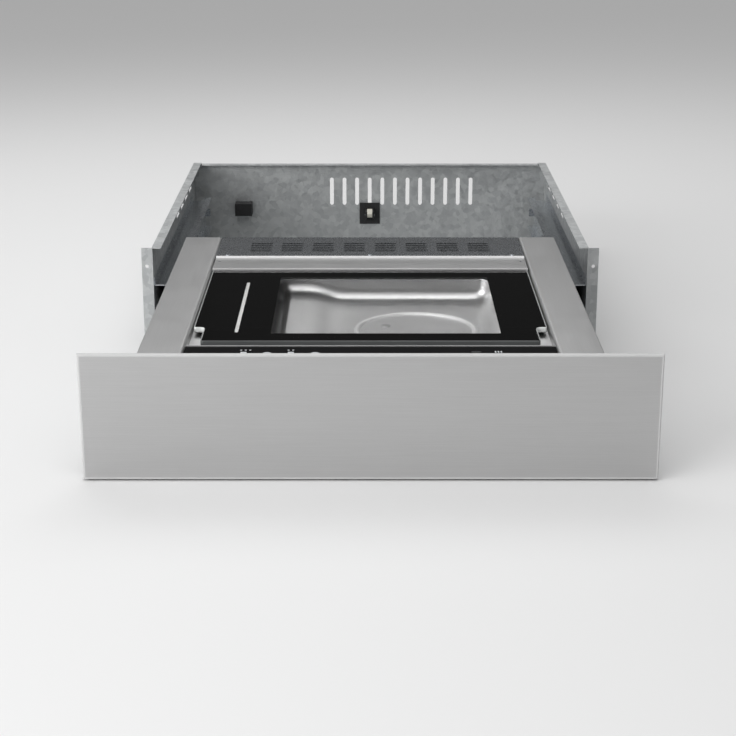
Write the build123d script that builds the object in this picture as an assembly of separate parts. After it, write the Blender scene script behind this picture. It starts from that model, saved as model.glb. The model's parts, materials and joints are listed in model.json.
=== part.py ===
from build123d import *
from math import cos, hypot, pi, radians, sin
import os

# Built-in vacuum sealing drawer, pulled out of its casing as it stands when it is used.
# Millimetres. +X is to the right seen from the front, +Y goes into the cabinet, +Z is up.
# The origin is at the middle of the niche's front edge, on the surface that the casing stands on.

# Front panel
PANEL_WIDTH = 597.0
PANEL_HEIGHT = 137.0
PANEL_DEPTH = 20.0
PANEL_LIFT = 1.5
PANEL_SKIN = 1.5
PANEL_BACK_SHEET = 1.4
PANEL_BEVEL_FACE = 2.6
PANEL_BEVEL_SIDE = 1.4
PANEL_LEDGE = 3.0
PANEL_GRIP_DROP = 8.0
PANEL_RIB_WIDTH = 16.0
BUFFER_INSET = 14.0
BUFFER_SPACING = 28.0
BUFFER_RADIUS = 4.0
BUFFER_THICKNESS = 0.8

# Drawer body
TRAVEL = 440.0
CLOSED_GAP = 1.0
SLIDE_ROOM = 34.8
BODY_DEPTH = 550.0
BODY_DROP = 12.0
STRIP_WIDTH = 47.7
TRAY_SHEET = 1.2
TRAY_CLEARANCE = 6.8
COVER_SHEET = 1.2
COVER_LIP = 14.0
COVER_INNER_FLANGE = 16.0
COVER_INNER_BEND = 4.0
COVER_OUTER_BEND = 1.5
COVER_GAP = 0.2

# Casing and niche
FRONT_OVERHANG = 20.5
CASING_HEIGHT = 134.0
CASING_REAR_ROOM = 28.5
CASING_SHEET = 1.2
CASING_HEM = 12.0
CASING_LIP = 3.8
CASING_RIB_HEIGHT = 3.0
CASING_RIB_WIDTH = 16.0
CASING_RIB_LENGTH = 380.0
CASING_SCREW_HEAD_R = 3.6
CASING_SCREW_HEAD = 2.0
FLANGE_WIDTH = 13.0
FLANGE_SHEET = 1.5
FIXING_SPACING_Z = 84.0
FIXING_HEIGHT = 68.0
FIXING_HOLE_R = 2.3

# Cooling slots
VENT_WIDTH = 5.0
VENT_LENGTH = 36.0
COVER_VENT_LENGTH = 28.0
COVER_VENT_WIDTH = 4.5
WALL_VENT_LENGTH = 44.0
WALL_VENT_WIDTH = 6.0
TRAY_VENT_SIDE = 42.0

# Control strip
CONTROL_GAP = 1.4
CONTROL_END = 68.4
CONTROL_DROP = 1.5
CONTROL_GLASS = 3.0
CONTROL_SIDE_GAP = 0.6
CARRIER_DEPTH = 7.0
CARRIER_WALL = 2.0
CARRIER_FLOOR = 1.6
BOARD_THICKNESS = 1.6
BOARD_GAP = 0.4

# Chamber
CHAMBER_SHEET = 1.5
SUPPORT_FOOT = 14.0
SUPPORT_SHELF = 20.0
SUPPORT_HOLE_R = 14.0
DECK_START = 69.0
DECK_DROP = 10.0
DECK_REAR_FLANGE = 12.0
DECK_SIDE_GAP = 0.3
TRIM_WIDTH = 3.0
TRIM_DROP = 1.0
CHAMBER_LEFT_MARGIN = 25.5
CHAMBER_RIGHT_MARGIN = 49.5
CHAMBER_START_MARGIN = 39.0
CHAMBER_END_MARGIN = 38.5
CHAMBER_DEPTH = 28.0
CHAMBER_DRAFT = 1.5
CHAMBER_CORNER = 18.0
CHAMBER_END_CORNER = 16.0
CHAMBER_MOUTH_ROUND = 1.5
TROUGH_FLOOR_WIDTH = 66.0
RAMP_STEP = 6.0
RAMP_HEIGHT = 10.0
RAMP_TOP_WIDTH = 17.0
RAMP_RUN = 52.0
RAMP_CREST_ROUND = 2.5
RAMP_FOOT_ROUND = 5.0
RING_RIGHT_MARGIN = 93.5
RING_START_MARGIN = 125.5
RING_RADIUS = 68.0
RING_BEAD_RADIUS = 3.6
RING_BEAD_RISE = 2.4
GASKET_WIDTH = 9.0
GASKET_MARGIN = 5.0
GASKET_CORNER = 18.0
GASKET_EDGE_ROUND = 1.5
GASKET_CLEARANCE = 0.3

# Lid
LID_SIDE_GAP = 3.0
LID_GLASS = 6.0
LID_START = 85.0
LID_OVERLAP = 3.0
LID_CORNER = 3.0
NOTCH_WIDTH = 11.5
NOTCH_LENGTH = 50.0
NOTCH_ROUND = 5.0
PRINT_THICKNESS = 0.3
PRINT_MARGIN = 0.6
WINDOW_LEFT_MARGIN = 62.0
WINDOW_RIGHT_MARGIN = 5.0
WINDOW_START_MARGIN = 9.0
WINDOW_END_MARGIN = 8.5
WINDOW_ROUND = 2.0
SLIT_LEFT_MARGIN = 24.5
SLIT_WIDTH = 4.0
SLIT_START_MARGIN = 13.0
SLIT_END_MARGIN = 33.5
COUNTER_BAR_WIDTH = 9.0
COUNTER_BAR_HEIGHT = 3.6
COUNTER_BAR_CHAMFER = 1.2

# Hinge
PIVOT_REAR_MARGIN = 132.0
PIVOT_DROP = 8.0
PIVOT_RADIUS = 3.0
HINGE_SIDE_GAP = 2.3
HINGE_FRONT_REACH = 41.0
HINGE_REAR_REACH = 16.0
HINGE_CAP = 2.5
HINGE_RIB = 2.0
HINGE_RIB_WIDTH = 3.0
HINGE_SCREW_R = 2.2
HINGE_SCREW_DEPTH = 1.2
HINGE_SCREW_INSET = 5.5
HINGE_BODY_DEPTH = 14.0
HINGE_CHAMFER = 4.0
HINGE_EDGE_ROUND = 1.0
RUNNING_CLEARANCE = 0.05
PIN_INNER_LENGTH = 14.0
PIN_OUTER_LENGTH = 18.0
BRACKET_SHEET = 4.0
BRACKET_FRONT_REACH = 34.0
BRACKET_REAR_REACH = 27.0
BRACKET_FOOT = 16.0
BRACKET_BOSS_LOW = 50.0
BRACKET_BOSS_HIGH = 92.0
BRACKET_BOSS_R = 5.0
DAMPER_RADIUS = 6.0
DAMPER_LENGTH = 24.0
DAMPER_TAB = 16.0
TROUGH_DEPTH = 30.0
TROUGH_SHEET = 1.2
TROUGH_SHELF = 16.0
SWING_CLEARANCE = 1.2

# Rear cover
COVER_SCREW_INSET = 11.4
COVER_SCREW_SIDE = 15.5
COVER_SCREW_R = 1.5
COVER_SCREW_HEAD_R = 3.4
COVER_SCREW_HEAD = 1.6

# Sealing bar and its lift
BAR_WIDTH = 14.0
BAR_HEIGHT = 13.0
BAR_CHAMFER = 3.0
BAR_LIFT = 4.5
BAR_REST_GAP = 5.1
BAR_BAND_WIDTH = 5.0
BAR_BAND_HEIGHT = 0.6
LIFT_PIN_RADIUS = 3.0
LIFT_PIN_HOLE_R = 3.8
LIFT_PIN_INSET = 38.0
CYLINDER_RADIUS = 12.0
CYLINDER_HEIGHT = 34.0
CYLINDER_FLANGE_R = 17.0
CYLINDER_FLANGE = 3.0

# Suction
PORT_RIGHT_MARGIN = 128.0
PORT_START_MARGIN = 143.8
PORT_HOLE_R = 4.0
PORT_BORE_R = 3.5
PORT_BARB_LENGTH = 22.0
STRAINER_RADIUS = 5.2
STRAINER_THICKNESS = 1.0
STRAINER_EDGE_ROUND = 0.6
STRAINER_HOLE_R = 0.75
STRAINER_HOLE_CIRCLE = 2.4
HOSE_RADIUS = 5.0
HOSE_BORE_R = 3.0

# Telescopic slides
SLIDE_LENGTH = 500.0
SLIDE_START = 5.0
SLIDE_HEIGHT = 66.0
SLIDE_SHEET = 1.5
SLIDE_WIDTH = 16.0
SLIDE_OUTER_FLANGE = 11.0
SLIDE_MIDDLE_OUT = 12.0
SLIDE_MIDDLE_FLANGE = 8.5
SLIDE_INNER_FLANGE = 9.0
INNER_HALF = 13.0
BALL_GAP = 3.5
CAGE_SHEET = 0.8
CAGE_END_ROOM = 20.0
SPACER_HALF = 17.0
SPACER_FOOT = 11.0

# Latch
LATCH_PIVOT_BACK = 9.0
LATCH_HEIGHT = 52.0
LATCH_REACH = 9.0
LATCH_SWING = 35.0
LATCH_WIDTH = 8.0
LATCH_CHEEK = 3.0
LATCH_PIN_R = 1.98
LATCH_HUB_R = 4.2
STRIKER_RADIUS = 2.5

# Power inlet in the back wall
INLET_X = -200.0
INLET_Z = 62.0
INLET_HALF_WIDTH = 13.5
INLET_HALF_HEIGHT = 10.0
INLET_CLEARANCE = 0.3
INLET_DEPTH = 20.0
INLET_WALL = 2.0

# Pump compartment
PUMP_REAR_MARGIN = 53.0
PUMP_AXIS_Z = 62.0
PUMP_MOUNT_HEIGHT = 6.0
PUMP_PLATE = 2.0
PUMP_LEFT = -44.0
PUMP_RIGHT = 36.0
PUMP_HEAD_HALF = 38.0
PUMP_FIN = 2.4
MOTOR_LENGTH = 112.0
MOTOR_RADIUS = 35.0
PUMP_INLET_X = -18.0
VALVE_LEFT = -160.0
VALVE_LENGTH = 84.0
VALVE_WIDTH = 44.0
VALVE_HEIGHT = 26.0
COIL_WIDTH = 24.0
COIL_DEPTH = 28.0
COIL_HEIGHT = 26.0
COIL_CAP_R = 7.0
COIL_CAP_HEIGHT = 14.0

# Electrics under the chamber
TRANSFORMER_LEFT = 66.0
TRANSFORMER_START_MARGIN = 127.0
TRANSFORMER_WIDTH = 66.0
TRANSFORMER_DEPTH = 56.0
TRANSFORMER_HEIGHT = 54.0
TRANSFORMER_STACK = 28.0
TRANSFORMER_STRAP = 2.0
TRANSFORMER_EAR = 9.0
COIL_INSET = 11.0
POWER_BOARD_LEFT = -112.0
POWER_BOARD_START_MARGIN = 23.0
POWER_BOARD_WIDTH = 100.0
POWER_BOARD_LENGTH = 170.0
POWER_BOARD_STANDOFF = 8.0
STANDOFF_R = 3.0
CAPACITOR_R = 8.5
CAPACITOR_HEIGHT = 26.0
RELAY_WIDTH = 18.0
RELAY_LENGTH = 15.0
RELAY_HEIGHT = 16.0
SINK_HEIGHT = 24.0
SINK_BASE = 4.0
PLUG_DEPTH = 14.0
PLUG_HEIGHT = 9.0

# Lengths that follow from the sizes above
CASING_WIDTH = PANEL_WIDTH - 2 * FRONT_OVERHANG
BODY_WIDTH = CASING_WIDTH - 2 * SLIDE_ROOM
FIXING_SPACING_X = CASING_WIDTH + FLANGE_WIDTH
FRONT_Y = -(FLANGE_SHEET + CLOSED_GAP + PANEL_DEPTH + TRAVEL)
CASING_DEPTH = BODY_DEPTH + FRONT_Y + TRAVEL + CASING_REAR_ROOM
PANEL_TOP = PANEL_LIFT + PANEL_HEIGHT
BODY_TOP = PANEL_TOP - BODY_DROP
BODY_HALF = BODY_WIDTH / 2
WALL_OUT = BODY_HALF - COVER_SHEET
TRAY_FLOOR = TRAY_CLEARANCE + TRAY_SHEET
TRAY_TOP = BODY_TOP - COVER_SHEET
WELL_HALF = BODY_HALF - STRIP_WIDTH
CONTROL_START = PANEL_DEPTH + CONTROL_GAP
CONTROL_HALF = WELL_HALF - CONTROL_SIDE_GAP
PIVOT_BEHIND = BODY_DEPTH - PIVOT_REAR_MARGIN
LID_END = PIVOT_BEHIND - HINGE_REAR_REACH
DECK_END = LID_END - LID_OVERLAP
DECK_TOP = BODY_TOP - DECK_DROP
DECK_HALF = WELL_HALF - DECK_SIDE_GAP
CHAMBER_LEFT = CHAMBER_LEFT_MARGIN - WELL_HALF
CHAMBER_RIGHT = WELL_HALF - CHAMBER_RIGHT_MARGIN
CHAMBER_START = DECK_START + CHAMBER_START_MARGIN
CHAMBER_END = DECK_END - CHAMBER_END_MARGIN
RING_X = CHAMBER_RIGHT - RING_RIGHT_MARGIN
RING_BEHIND = CHAMBER_START + RING_START_MARGIN
FLOOR_TOP = DECK_TOP - CHAMBER_DEPTH
FLOOR_UNDER = FLOOR_TOP - CHAMBER_SHEET
LID_WIDTH = 2 * (WELL_HALF - LID_SIDE_GAP)
LID_TOP = BODY_TOP
LID_UNDER = LID_TOP - LID_GLASS
PRINT_UNDER = LID_UNDER - PRINT_THICKNESS
WINDOW_LEFT = CHAMBER_LEFT + WINDOW_LEFT_MARGIN
WINDOW_RIGHT = CHAMBER_RIGHT - WINDOW_RIGHT_MARGIN
WINDOW_START = CHAMBER_START + WINDOW_START_MARGIN
WINDOW_END = CHAMBER_END - WINDOW_END_MARGIN
SLIT_X = CHAMBER_LEFT + SLIT_LEFT_MARGIN
SLIT_START = CHAMBER_START + SLIT_START_MARGIN
SLIT_END = CHAMBER_END - SLIT_END_MARGIN
PIVOT_Z = LID_TOP - PIVOT_DROP
HINGE_HALF = WELL_HALF - HINGE_SIDE_GAP
HINGE_START = PIVOT_BEHIND - HINGE_FRONT_REACH
HINGE_END = PIVOT_BEHIND + HINGE_REAR_REACH
HINGE_SWING = hypot(HINGE_REAR_REACH, PIVOT_DROP + HINGE_CAP + HINGE_RIB) + SWING_CLEARANCE
BRACKET_START = PIVOT_BEHIND - BRACKET_FRONT_REACH
BRACKET_END = PIVOT_BEHIND + BRACKET_REAR_REACH
TROUGH_END = PIVOT_BEHIND + HINGE_SWING + TROUGH_SHEET
REAR_COVER_START = TROUGH_END + COVER_GAP / 2
PORT_X = CHAMBER_RIGHT - PORT_RIGHT_MARGIN
PORT_BEHIND = CHAMBER_START + PORT_START_MARGIN
PUMP_BEHIND = BODY_DEPTH - PUMP_REAR_MARGIN
PUMP_PLATE_Z = TRAY_FLOOR + PUMP_MOUNT_HEIGHT
CAGE_LENGTH = SLIDE_LENGTH - TRAVEL / 2 - CAGE_END_ROOM
CASING_HALF = CASING_WIDTH / 2
CASING_IN = CASING_HALF - CASING_SHEET


def behind(distance):
    """Y of a point that lies this far behind the front panel's face."""
    return FRONT_Y + distance


def block(x0, x1, y0, y1, z0, z1):
    """Rectangular solid between two opposite corners."""
    centre = Pos((x0 + x1) / 2, (y0 + y1) / 2, (z0 + z1) / 2)
    return centre * Box(x1 - x0, y1 - y0, z1 - z0)


def rod_x(x0, x1, y, z, radius):
    """Round bar along X."""
    return Pos((x0 + x1) / 2, y, z) * Rot(0, 90, 0) * Cylinder(radius, x1 - x0)


def rod_y(x, y0, y1, z, radius):
    """Round bar along Y."""
    return Pos(x, (y0 + y1) / 2, z) * Rot(90, 0, 0) * Cylinder(radius, y1 - y0)


def rod_z(x, y, z0, z1, radius):
    """Round bar along Z."""
    return Pos(x, y, (z0 + z1) / 2) * Cylinder(radius, z1 - z0)


def along_x(sketch, x0, x1):
    """Solid of an outline drawn in Y and Z, from x0 to x1."""
    return extrude(Plane.YZ.offset(x0) * sketch, amount=x1 - x0, dir=(1, 0, 0))


def along_y(sketch, y0, y1):
    """Solid of an outline drawn in X and Z, from y0 to y1."""
    return extrude(Plane.XZ.offset(-y1) * sketch, amount=y1 - y0, dir=(0, -1, 0))


def along_z(sketch, z0, z1):
    """Solid of an outline drawn in X and Y, from z0 to z1."""
    return extrude(Plane.XY.offset(z0) * sketch, amount=z1 - z0, dir=(0, 0, 1))


def outline(*points):
    """Closed face through the points."""
    return Polygon(*points, align=None)


def folded(points, thickness):
    """Cross-section of a folded sheet: its line, and the same line moved left by the thickness."""
    steps = [(b[0] - a[0], b[1] - a[1]) for a, b in zip(points, points[1:])]
    normals = [(-dy / hypot(dx, dy), dx / hypot(dx, dy)) for dx, dy in steps]
    before = [normals[0]] + normals
    after = normals + [normals[-1]]
    moved = []
    for (x, y), (ax, ay), (bx, by) in zip(points, before, after):
        share = thickness / (1 + ax * bx + ay * by)
        moved.append((x + (ax + bx) * share, y + (ay + by) * share))
    return outline(*points, *reversed(moved))


def corners_at(shape, *places):
    """The corners of a flat outline that lie at these places."""
    near = []
    for x, y in places:
        near += [v for v in shape.vertices() if hypot(v.X - x, v.Y - y) < 0.01]
    return near


def rounded_plate(x0, x1, y0, y1, z0, z1, radius):
    """Plate with rounded corners seen from above."""
    plan = Pos((x0 + x1) / 2, (y0 + y1) / 2) * RectangleRounded(x1 - x0, y1 - y0, radius)
    return along_z(plan, z0, z1)


def slots_z(x_centres, y_centres, length, width, z0, z1):
    """Cutters for a field of slots that run along X, through a level sheet."""
    cutter = along_z(SlotOverall(length, width), z0, z1)
    return [Pos(x, y, 0) * cutter for x in x_centres for y in y_centres]


def slots_y(x_centres, z_centres, length, width, y0, y1):
    """Cutters for a field of upright slots through a wall that faces Y."""
    cutter = along_y(Rot(0, 0, 90) * SlotOverall(length, width), y0, y1)
    return [Pos(x, 0, z) * cutter for x in x_centres for z in z_centres]


def spread(start, end, count):
    """Evenly spaced places from start to end."""
    return [start + (end - start) * i / (count - 1) for i in range(count)]


def mirrored(part):
    """The same piece on the other side of the drawer."""
    return mirror(part, about=Plane.YZ)


# Casing


def casing_base():
    """Base pan with pressed stiffening ribs, a front lip and cooling slots."""
    y0, y1 = -FLANGE_SHEET, CASING_DEPTH - CASING_SHEET
    pan = block(-CASING_IN, CASING_IN, y0, y1, 0, CASING_SHEET)
    sheet = CASING_SHEET
    pan += block(-CASING_IN, CASING_IN, y0, y0 + sheet, sheet, sheet + CASING_LIP)
    foot, crown, height = CASING_RIB_WIDTH / 2, CASING_RIB_WIDTH / 4, CASING_RIB_HEIGHT
    y_mid, reach = CASING_DEPTH * 0.45, CASING_RIB_LENGTH / 2
    for x in spread(-0.65 * CASING_HALF, 0.65 * CASING_HALF, 4):
        crest = outline(
            (x - foot, sheet),
            (x + foot, sheet),
            (x + crown, sheet + height),
            (x - crown, sheet + height),
        )
        hollow = outline(
            (x - foot + sheet, 0),
            (x + foot - sheet, 0),
            (x + crown - sheet / 2, height),
            (x - crown + sheet / 2, height),
        )
        pan += along_y(crest, y_mid - reach, y_mid + reach)
        pan -= along_y(hollow, y_mid - reach + sheet, y_mid + reach - sheet)
    rows = spread(CASING_DEPTH - 78.0, CASING_DEPTH - 48.0, 3)
    return pan - slots_z(spread(-100.0, 100.0, 5), rows, VENT_LENGTH, VENT_WIDTH, -1, 2)


def casing_side():
    """Right side wall: hems at top and bottom, and the front flange with its fixing holes."""
    top = CASING_HEIGHT
    section = folded(
        [
            (CASING_HALF - CASING_HEM, CASING_SHEET),
            (CASING_HALF, CASING_SHEET),
            (CASING_HALF, top),
            (CASING_HALF - CASING_HEM, top),
        ],
        CASING_SHEET,
    )
    wall = along_y(section, 0, CASING_DEPTH)
    flange = block(
        CASING_IN, CASING_HALF + FLANGE_WIDTH, -FLANGE_SHEET, 0, 2 * CASING_SHEET, top
    )
    wall += flange
    for z in (FIXING_HEIGHT - FIXING_SPACING_Z / 2, FIXING_HEIGHT + FIXING_SPACING_Z / 2):
        wall -= rod_y(FIXING_SPACING_X / 2, -5, 5, z, FIXING_HOLE_R)
    vent = along_x(SlotOverall(VENT_LENGTH, VENT_WIDTH), CASING_IN - 2, CASING_HALF + 2)
    for y in spread(0.54 * CASING_DEPTH, 0.86 * CASING_DEPTH, 4):
        for z in (CASING_HEIGHT - 26.0, CASING_HEIGHT - 16.0):
            wall -= Pos(0, y, z) * vent
    return wall


def casing_back():
    """Back wall with cooling slots, side flanges and the inlet's opening."""
    y0, y1 = CASING_DEPTH - CASING_SHEET, CASING_DEPTH
    z0, z1 = 2 * CASING_SHEET, CASING_HEIGHT - CASING_SHEET
    half = CASING_IN
    wall = block(-half, half, y0, y1, z0, z1)
    wall += block(-half + CASING_HEM, half - CASING_HEM, y0 - CASING_HEM, y0, z1 - CASING_SHEET, z1)
    x_slots, level = spread(-60.0, 160.0, 12), 0.66 * CASING_HEIGHT
    wall -= slots_y(x_slots, (level,), WALL_VENT_LENGTH, WALL_VENT_WIDTH, y0 - 1, y1 + 1)
    return wall - block(
        INLET_X - INLET_HALF_WIDTH,
        INLET_X + INLET_HALF_WIDTH,
        y0 - 1,
        y1 + 1,
        INLET_Z - INLET_HALF_HEIGHT,
        INLET_Z + INLET_HALF_HEIGHT,
    )


def power_inlet():
    """Appliance inlet in the back wall: flange outside, housing inside, three contacts."""
    x, z, wall = INLET_X, INLET_Z, INLET_WALL
    w, h = INLET_HALF_WIDTH - INLET_CLEARANCE, INLET_HALF_HEIGHT - INLET_CLEARANCE
    back = CASING_DEPTH
    housing = block(x - w, x + w, back - INLET_DEPTH, back, z - h, z + h)
    flange = rounded_frame(x, z, 2 * w + 12, 2 * h + 8, back, back + 2.5)
    recess = block(x - w + wall, x + w - wall, back - 15, back + 3, z - h + wall, z + h - wall)
    contacts = [
        block(x + dx - 1, x + dx + 1, back - 16, back - 4, z + dz - 2, z + dz + 2)
        for dx, dz in ((-6.5, -2.0), (0.0, 2.5), (6.5, -2.0))
    ]
    return (housing + flange) - recess + contacts


def rounded_frame(x, z, width, height, y0, y1):
    """Flat flange with rounded corners on a wall that faces Y."""
    return Pos(x, 0, z) * along_y(RectangleRounded(width, height, 3.0), y0, y1)


def casing_screws():
    """Pan-head screws that join the sides to the back wall."""
    screws = []
    y0, y1 = CASING_DEPTH, CASING_DEPTH + CASING_SCREW_HEAD
    for side in (-1, 1):
        for z in spread(20.0, CASING_HEIGHT - 20.0, 3):
            screws.append(rod_y(side * (CASING_IN - 6.0), y0, y1, z, CASING_SCREW_HEAD_R))
    return Compound(children=screws)


def slide_spacer():
    """Hat-section bracket that carries the right slide on the casing wall."""
    web_x = WALL_OUT + SLIDE_WIDTH + CASING_SHEET
    z0, z1 = SLIDE_HEIGHT - SPACER_HALF, SLIDE_HEIGHT + SPACER_HALF
    foot = SPACER_FOOT
    section = folded(
        [
            (CASING_IN, z0 - foot),
            (CASING_IN, z0),
            (web_x, z0),
            (web_x, z1),
            (CASING_IN, z1),
            (CASING_IN, z1 + foot),
        ],
        CASING_SHEET,
    )
    return along_y(section, SLIDE_START, SLIDE_START + SLIDE_LENGTH)


# Telescopic slides


def slide_outer():
    """Outer member of the right slide: a channel that opens towards the drawer."""
    half = INNER_HALF + 2 * (BALL_GAP + SLIDE_SHEET)
    out = WALL_OUT + SLIDE_WIDTH
    lip = out - SLIDE_OUTER_FLANGE
    section = folded([(lip, -half), (out, -half), (out, half), (lip, half)], SLIDE_SHEET)
    rail = along_y(Pos(0, SLIDE_HEIGHT) * section, SLIDE_START, SLIDE_START + SLIDE_LENGTH)
    stop_y = SLIDE_START + SLIDE_LENGTH
    stop = block(out - 9.0, out - SLIDE_SHEET, stop_y - 4, stop_y - 1, SLIDE_HEIGHT - 6, SLIDE_HEIGHT + 6)
    return rail + stop


def slide_middle():
    """Middle member of the right slide, half way out."""
    half = INNER_HALF + BALL_GAP + SLIDE_SHEET
    out = WALL_OUT + SLIDE_MIDDLE_OUT
    lip = out - SLIDE_MIDDLE_FLANGE
    section = folded([(lip, -half), (out, -half), (out, half), (lip, half)], SLIDE_SHEET)
    y0 = SLIDE_START - TRAVEL / 2
    rail = along_y(Pos(0, SLIDE_HEIGHT) * section, y0, y0 + SLIDE_LENGTH - 10.0)
    for y in (y0 + 40.0, y0 + SLIDE_LENGTH - 60.0):
        rail -= rod_x(out - 4, out + 4, y, SLIDE_HEIGHT, 5.0)
    return rail


def slide_inner():
    """Inner member of the right slide, screwed to the drawer's side wall."""
    section = folded(
        [
            (WALL_OUT + SLIDE_INNER_FLANGE, INNER_HALF),
            (WALL_OUT, INNER_HALF),
            (WALL_OUT, -INNER_HALF),
            (WALL_OUT + SLIDE_INNER_FLANGE, -INNER_HALF),
        ],
        SLIDE_SHEET,
    )
    y0 = SLIDE_START - TRAVEL
    rail = along_y(Pos(0, SLIDE_HEIGHT) * section, y0, y0 + SLIDE_LENGTH)
    for y in spread(y0 + 30.0, y0 + SLIDE_LENGTH - 30.0, 4):
        rail += rod_x(WALL_OUT + SLIDE_SHEET, WALL_OUT + SLIDE_SHEET + 1.6, y, SLIDE_HEIGHT, 4.5)
    return rail


def ball_cage(inner_reach, half, out, y_mid):
    """Cage that holds the balls between two members: a thin channel with ball windows."""
    line = [(inner_reach, -half), (out, -half), (out, half), (inner_reach, half)]
    section = folded(line, CAGE_SHEET)
    y0 = y_mid - CAGE_LENGTH / 2
    cage = along_y(Pos(0, SLIDE_HEIGHT) * section, y0, y0 + CAGE_LENGTH)
    z0, z1 = SLIDE_HEIGHT - half + 4, SLIDE_HEIGHT + half - 4
    cage -= block(out - 3, out + 3, y0 + 30, y0 + CAGE_LENGTH - 30, z0, z1)
    mid = (inner_reach + out - CAGE_SHEET) / 2
    for y in spread(y0 + 15, y0 + CAGE_LENGTH - 15, 9):
        cage -= rod_z(mid, y, SLIDE_HEIGHT - half - 2, SLIDE_HEIGHT + half + 2, BALL_GAP / 2)
    return cage


def ball_cage_inner():
    """Right cage between the inner and the middle member."""
    half = INNER_HALF + (BALL_GAP + CAGE_SHEET) / 2
    y_overlap = SLIDE_START - TRAVEL / 2 + (SLIDE_LENGTH - TRAVEL / 2) / 2
    return ball_cage(WALL_OUT + 4.0, half, WALL_OUT + 10.15, y_overlap)


def ball_cage_outer():
    """Right cage between the middle and the outer member."""
    half = INNER_HALF + SLIDE_SHEET + BALL_GAP + (BALL_GAP + CAGE_SHEET) / 2
    y_overlap = SLIDE_START + (SLIDE_LENGTH - TRAVEL / 2) / 2
    return ball_cage(WALL_OUT + 7.0, half, WALL_OUT + 13.6, y_overlap)


# Latch


def latch_housing():
    """Plastic housing on the back wall with two cheeks for the pawl."""
    wall = CASING_DEPTH - CASING_SHEET
    z = LATCH_HEIGHT
    plate = block(-16, 16, wall - 2.0, wall, z - 16, z + 18)
    cheek_gap = LATCH_WIDTH / 2 + 0.3
    pivot_y = wall - LATCH_PIVOT_BACK
    for side in (-1, 1):
        x0, x1 = sorted((side * cheek_gap, side * (cheek_gap + LATCH_CHEEK)))
        face = outline(
            (pivot_y - 5.5, z - 5.5),
            (wall - 2.0, z - 10.0),
            (wall - 2.0, z + 10.0),
            (pivot_y - 5.5, z + 5.5),
        )
        plate += along_x(face, x0, x1)
    return plate - rod_x(-20, 20, pivot_y, z, LATCH_PIN_R + 0.02)


def latch_pin():
    """Steel pin on which the pawl turns."""
    half = LATCH_WIDTH / 2 + LATCH_CHEEK + 0.6
    pivot_y = CASING_DEPTH - CASING_SHEET - LATCH_PIVOT_BACK
    return rod_x(-half, half, pivot_y, LATCH_HEIGHT, LATCH_PIN_R)


def latch_pawl():
    """Pawl with a hooked nose, raised clear of the striker as it is while the drawer is out."""
    wall = CASING_DEPTH - CASING_SHEET
    pivot_y = wall - LATCH_PIVOT_BACK
    striker_y = closed_tray_rear() + LATCH_REACH
    nose_back = striker_y - STRIKER_RADIUS - 0.4
    z = LATCH_HEIGHT
    face = outline(
        (nose_back - 3.2, z + 4.0),
        (nose_back - 3.2, z - 5.0),
        (nose_back, z - 6.0),
        (nose_back, z + 0.5),
        (pivot_y - 2.5, z + 0.5),
        (pivot_y, z + 4.0),
    )
    pawl = along_x(face, -LATCH_WIDTH / 2, LATCH_WIDTH / 2)
    pawl += rod_x(-LATCH_WIDTH / 2, LATCH_WIDTH / 2, pivot_y, z, LATCH_HUB_R)
    pawl -= rod_x(-9, 9, pivot_y, z, LATCH_PIN_R + RUNNING_CLEARANCE + 0.02)
    hinge = Axis((0, pivot_y, z), (1, 0, 0))
    return pawl.rotate(hinge, -LATCH_SWING)


def closed_tray_rear():
    """Y of the tray's rear wall when the drawer is shut."""
    return behind(BODY_DEPTH) + TRAVEL


def latch_striker():
    """Bracket on the tray's rear wall with the cross pin that the pawl hooks."""
    rear = behind(BODY_DEPTH)
    pin_y = rear + LATCH_REACH
    pin_z = LATCH_HEIGHT - 3.5
    ear_x = LATCH_WIDTH / 2 + 6.6
    plate = block(-ear_x - 8, ear_x + 8, rear, rear + 1.5, pin_z - 9, pin_z + 9)
    for side in (-1, 1):
        x0, x1 = sorted((side * ear_x, side * (ear_x + 1.8)))
        plate += block(x0, x1, rear, pin_y + 3.5, pin_z - 5, pin_z + 5)
    return plate + rod_x(-ear_x - 0.5, ear_x + 0.5, pin_y, pin_z, STRIKER_RADIUS)


# Drawer body


def drawer_tray():
    """Folded tray that carries the chamber, the pump and the slides."""
    y0, y1 = behind(PANEL_DEPTH), behind(BODY_DEPTH)
    z0 = TRAY_FLOOR - TRAY_SHEET
    tray = block(-WALL_OUT, WALL_OUT, y0, y1, z0, TRAY_TOP)
    tray -= block(
        -WALL_OUT + TRAY_SHEET,
        WALL_OUT - TRAY_SHEET,
        y0 + TRAY_SHEET,
        y1 - TRAY_SHEET,
        TRAY_FLOOR,
        TRAY_TOP + 1,
    )
    front_drop = CONTROL_DROP + CONTROL_GLASS + CARRIER_DEPTH
    tray -= block(
        -WALL_OUT + 2, WALL_OUT - 2, y0 - 1, y0 + TRAY_SHEET + 1, BODY_TOP - front_drop, TRAY_TOP + 1
    )
    rows = spread(y1 - 80.0, y1 - 40.0, 3)
    reach = WALL_OUT - TRAY_VENT_SIDE
    tray -= slots_z(spread(-0.4 * reach, reach, 8), rows, COVER_VENT_LENGTH, VENT_WIDTH, 0, TRAY_FLOOR + 4)
    for x_slots in (spread(-reach, -0.3 * reach, 8), spread(0.4 * reach, reach, 7)):
        tray -= slots_y(x_slots, (0.55 * BODY_TOP,), WALL_VENT_LENGTH, WALL_VENT_WIDTH, y1 - 4, y1 + 4)
    return tray


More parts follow.
